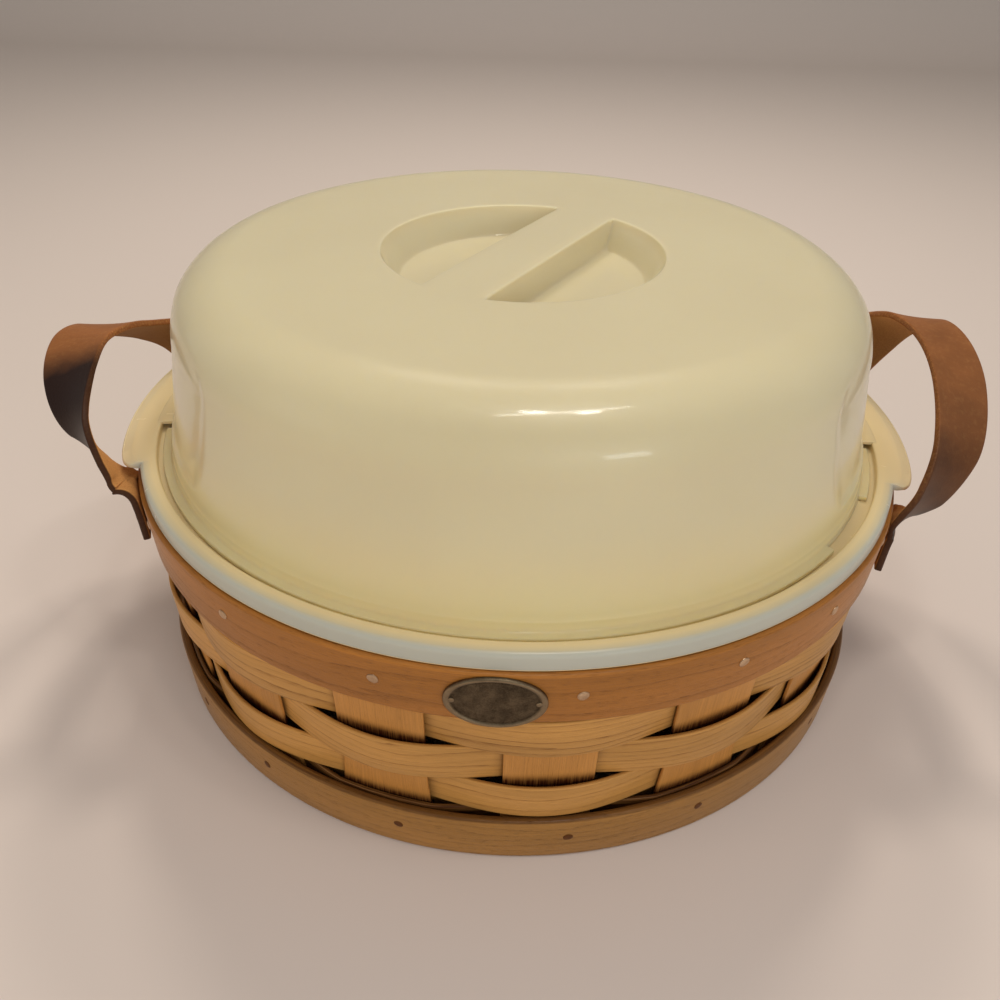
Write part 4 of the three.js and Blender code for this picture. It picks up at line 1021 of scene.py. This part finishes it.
def pocket(side, degrees, inset):
    """Half of the crown inside the recess ring: flat crown, rounded rim, drafted walls and floor of
    one finger pocket. Rows go from the ring and the bar's middle line down to the floor's middle."""
    local = np.mod(degrees - 90 - BAR_TURN + (0 if side > 0 else 180) + 180, 360) - 180
    arc = np.sort(local[np.abs(local) <= 90 + 1e-6])
    line_count = 41
    angle = np.radians(arc)
    ring = np.stack([RECESS_RING * np.cos(angle), RECESS_RING * np.sin(angle)], axis=1)
    line_y = np.linspace(RECESS_RING, -RECESS_RING, line_count)[1:-1]
    ring = np.concatenate([ring, np.stack([0 * line_y, line_y], axis=1)])
    counts = (len(arc), line_count)
    rows = []

    def add(outline, z):
        rows.append(np.column_stack([outline, np.broadcast_to(z, len(outline))]))

    def outline_at(depth, grow, corner):
        radius = RECESS_RADIUS - RECESS_DRAFT * depth + inset + grow
        bar = BAR_WIDTH / 2 + side * BAR_SHIFT + BAR_DRAFT * depth - inset - grow
        return half_outline(radius, bar, corner, counts)

    top = lambda outline: crown_height(np.hypot(outline[:, 0], outline[:, 1])) - inset
    rim, base = POCKET_RIM, POCKET_BASE
    for share in (0, 0.35, 0.7, 1):
        outline = ring * (1 - share) + outline_at(0, rim, 2 + inset) * share
        add(outline, top(outline))
    for t in np.radians((22, 45, 68, 90)):
        outline = outline_at(0, rim * (1 - math.sin(t)), 1.5 + inset)
        add(outline, top(outline) - rim * (1 - math.cos(t)))
    floor_z = LID_TOP - RECESS_DEPTH - inset
    for share in (0.25, 0.5, 0.75, 1):
        z = LID_TOP - rim - inset - share * (LID_TOP - rim - inset - floor_z - base)
        depth = (LID_TOP - z) / RECESS_DEPTH
        add(outline_at(min(depth, 1), 0, 1.5 + inset), z)
    for t in np.radians((25, 50, 75, 90)):
        outline = outline_at(0.93, -base * (1 - math.cos(t)), 1.5 + inset * 0.5)
        add(outline, floor_z + base * (1 - math.sin(t)))
    last = rows[-1]
    middle = np.array([POCKET_MIDDLE, 0, floor_z])
    for share in (0.35, 0.7, 1):
        rows.append(last * (1 - share) + middle * share)
    return Grid(turned(np.stack(rows) * (side, side, 1), BAR_TURN), pale=0)


def build_lid():
    """The dome's skin outside and inside with its flange, and the four halves of the recess. Its lower
    part is painted warmer and brighter, as painted light where the cream tray shines through."""
    notches = ((NOTCH_HALF_ANGLE, NOTCH_MIDDLE), (HOOK_NOTCH_HALF_ANGLE, 90))
    marks = mirrored(*notches[0]) + mirrored(*notches[1])
    borders = [angle for half in np.arange(34, 42, 0.5) for angle in mirrored(half)]
    degrees = spread_angles(marks + [BAR_TURN, BAR_TURN + 180], 1.25)
    degrees = np.union1d(degrees, borders)
    cuts = [ease((half - np.abs(np.mod(degrees, 180) - m)) / 0.12 + 0.5) for half, m in notches]
    edge = FLANGE_RADIUS - NOTCH_DEPTH * np.maximum(*cuts)
    outer_r, outer_z = dome_profile(degrees, 0)
    inner_r, inner_z = dome_profile(degrees, LID_WALL)
    flange = (
        (LID_FOOT_RADIUS - 2, FLANGE_BOTTOM + 0.3),
        (LID_FOOT_RADIUS - 1.7, FLANGE_BOTTOM),
        (edge - 0.35, FLANGE_BOTTOM),
        (edge, FLANGE_BOTTOM + 0.35),
        (edge, FLANGE_TOP - 0.35),
        (edge - 0.35, FLANGE_TOP),
        (152.6, FLANGE_TOP),
        (152.2, FLANGE_TOP + 0.15),
        (151.95, FLANGE_TOP + 0.5),
        (151.75, 108.6),
        (151.7, 109.4),
        (151.55, 109.95),
    )
    flange_r, flange_z = (np.stack([v + 0 * edge for v in column], axis=1) for column in zip(*flange))
    r = np.concatenate([inner_r[:, ::-1], flange_r, outer_r], axis=1)
    z = np.concatenate([inner_z[:, ::-1], flange_z, outer_z], axis=1)
    # Painted light: warmer and brighter towards the foot of the dome
    dome = Grid(polar(r, degrees[:, None], z), True, False, pale=ease((146 - z) / 38))
    halves = [pocket(side, degrees, inset) for side in (1, -1) for inset in (0, LID_WALL)]
    make("moulded_lid", [dome] + halves, lid_look, "lid", "domed_lid", 35)


# Stage, lights and camera


def build_stage():
    """A pale floor that curves up into a pale wall behind the basket, as one sheet."""
    reach, bend = 1.6, 0.3
    turn = np.linspace(0.2, math.pi / 2, 8)
    y = np.array([-3, reach, *(reach + bend * np.sin(turn)), reach + bend])[:, None]
    z = np.array([0, 0, *(bend * (1 - np.cos(turn))), 2.5])[:, None]
    points = np.stack(np.broadcast_arrays([-3.0, 3.0], y, z), axis=-1)
    mesh = bpy.data.meshes.new("paper_sweep")
    mesh.from_pydata(points.reshape(-1, 3), [], Grid(points, False, False).faces()[0])
    mesh.shade_smooth()
    look = bpy.data.materials.new("pale_paper")
    look.use_nodes = True
    tree = look.node_tree
    place = node(tree, "TexCoord").outputs["Object"]
    height = node(tree, "SeparateXYZ", {0: place}).outputs[2]
    color = mix(tree, remap(tree, height, 0.0, 0.35), linear(213, 200, 191), linear(196, 194, 190))
    paper = tree.nodes["Principled BSDF"].inputs
    tree.links.new(color, paper["Base Color"])
    paper["Roughness"].default_value = 0.7
    mesh.materials.append(look)
    put_in_scene("paper_sweep", mesh)


def lamp(name, place, target, size, power, color, glossy=True):
    """A rectangular lamp at a place, turned to its target. Not glossy, it shows in no reflection."""
    data = bpy.data.lights.new(name, "AREA")
    data.shape = "RECTANGLE"
    data.size, data.size_y = size
    data.energy = power
    data.color = color
    made = put_in_scene(name, data)
    made.location = place
    made.rotation_euler = (Vector(target) - Vector(place)).to_track_quat("-Z", "Y").to_euler()
    made.visible_glossy = glossy


def build_lights():
    """A dim warm room, two lamps behind, a strip and two bulbs above, and soft light in front."""
    world = bpy.data.worlds.new("room")
    world.use_nodes = True
    background = world.node_tree.nodes["Background"]
    background.inputs["Color"].default_value = (1.0, 0.96, 0.92, 1)
    background.inputs["Strength"].default_value = 0.34
    bpy.context.scene.world = world
    for name, x in (("behind_right", 0.22), ("behind_left", -0.16)):
        lamp(name, (x, 0.7, 1.2), (0, 0, 0.05), (0.2, 0.2), 4.6, (1, 0.92, 0.82), False)
    above = (
        ("strip_in_front", 0.17, (0.6, 0.06), 1.0),
        ("bulb_left", 0.06, (0.1, 0.08), 0.8),
        ("bulb_right", 0.28, (0.1, 0.08), 0.8),
    )
    for name, x, size, power in above:
        lamp(name, (x, -0.28, 1.25), (0.05, -0.05, 0.1), size, power, (1, 0.95, 0.88))
    lamp("front_soft", (0.35, -1.25, 0.55), (0, 0, 0.08), (0.8, 0.6), 5.6, (0.97, 0.97, 1), False)
    lamp("left_soft", (-1.1, -0.5, 0.5), (0, 0, 0.1), (0.6, 0.5), 2.3, (1, 0.88, 0.72), False)
    lamp("window_glint", (0.7, -1.2, 0.5), (0, 0, 0.08), (0.3, 0.14), 0.7, (0.85, 0.95, 1))


def build_camera():
    """The camera of the photograph: 983 pixels of focal length on 1000, rolled by 1.67 degrees."""
    data = bpy.data.cameras.new("camera")
    data.sensor_width = 36
    data.lens = 983 / 1000 * 36
    data.shift_x = -0.0015
    data.shift_y = -0.0005
    data.clip_start = 0.01
    place = Vector((-0.00597, -0.39942, 0.32056))
    target = Vector((-0.00597, 0, 0.05815))
    turn = (target - place).to_track_quat("-Z", "Y").to_matrix().to_4x4()
    camera = put_in_scene("camera", data)
    camera.matrix_world = Matrix.Translation(place) @ turn @ Matrix.Rotation(math.radians(1.673), 4, "Z")
    bpy.context.scene.camera = camera


build_camera()
build_wall()
build_nails()
build_badge()
strap("right", RIGHT_LOOP, RIGHT_OUTER_SHADE, 1)
strap("left", LEFT_LOOP, LEFT_OUTER_SHADE, -1)
build_tray()
build_lid()
build_stage()
build_lights()
bpy.context.scene.view_settings.view_transform = "Standard"
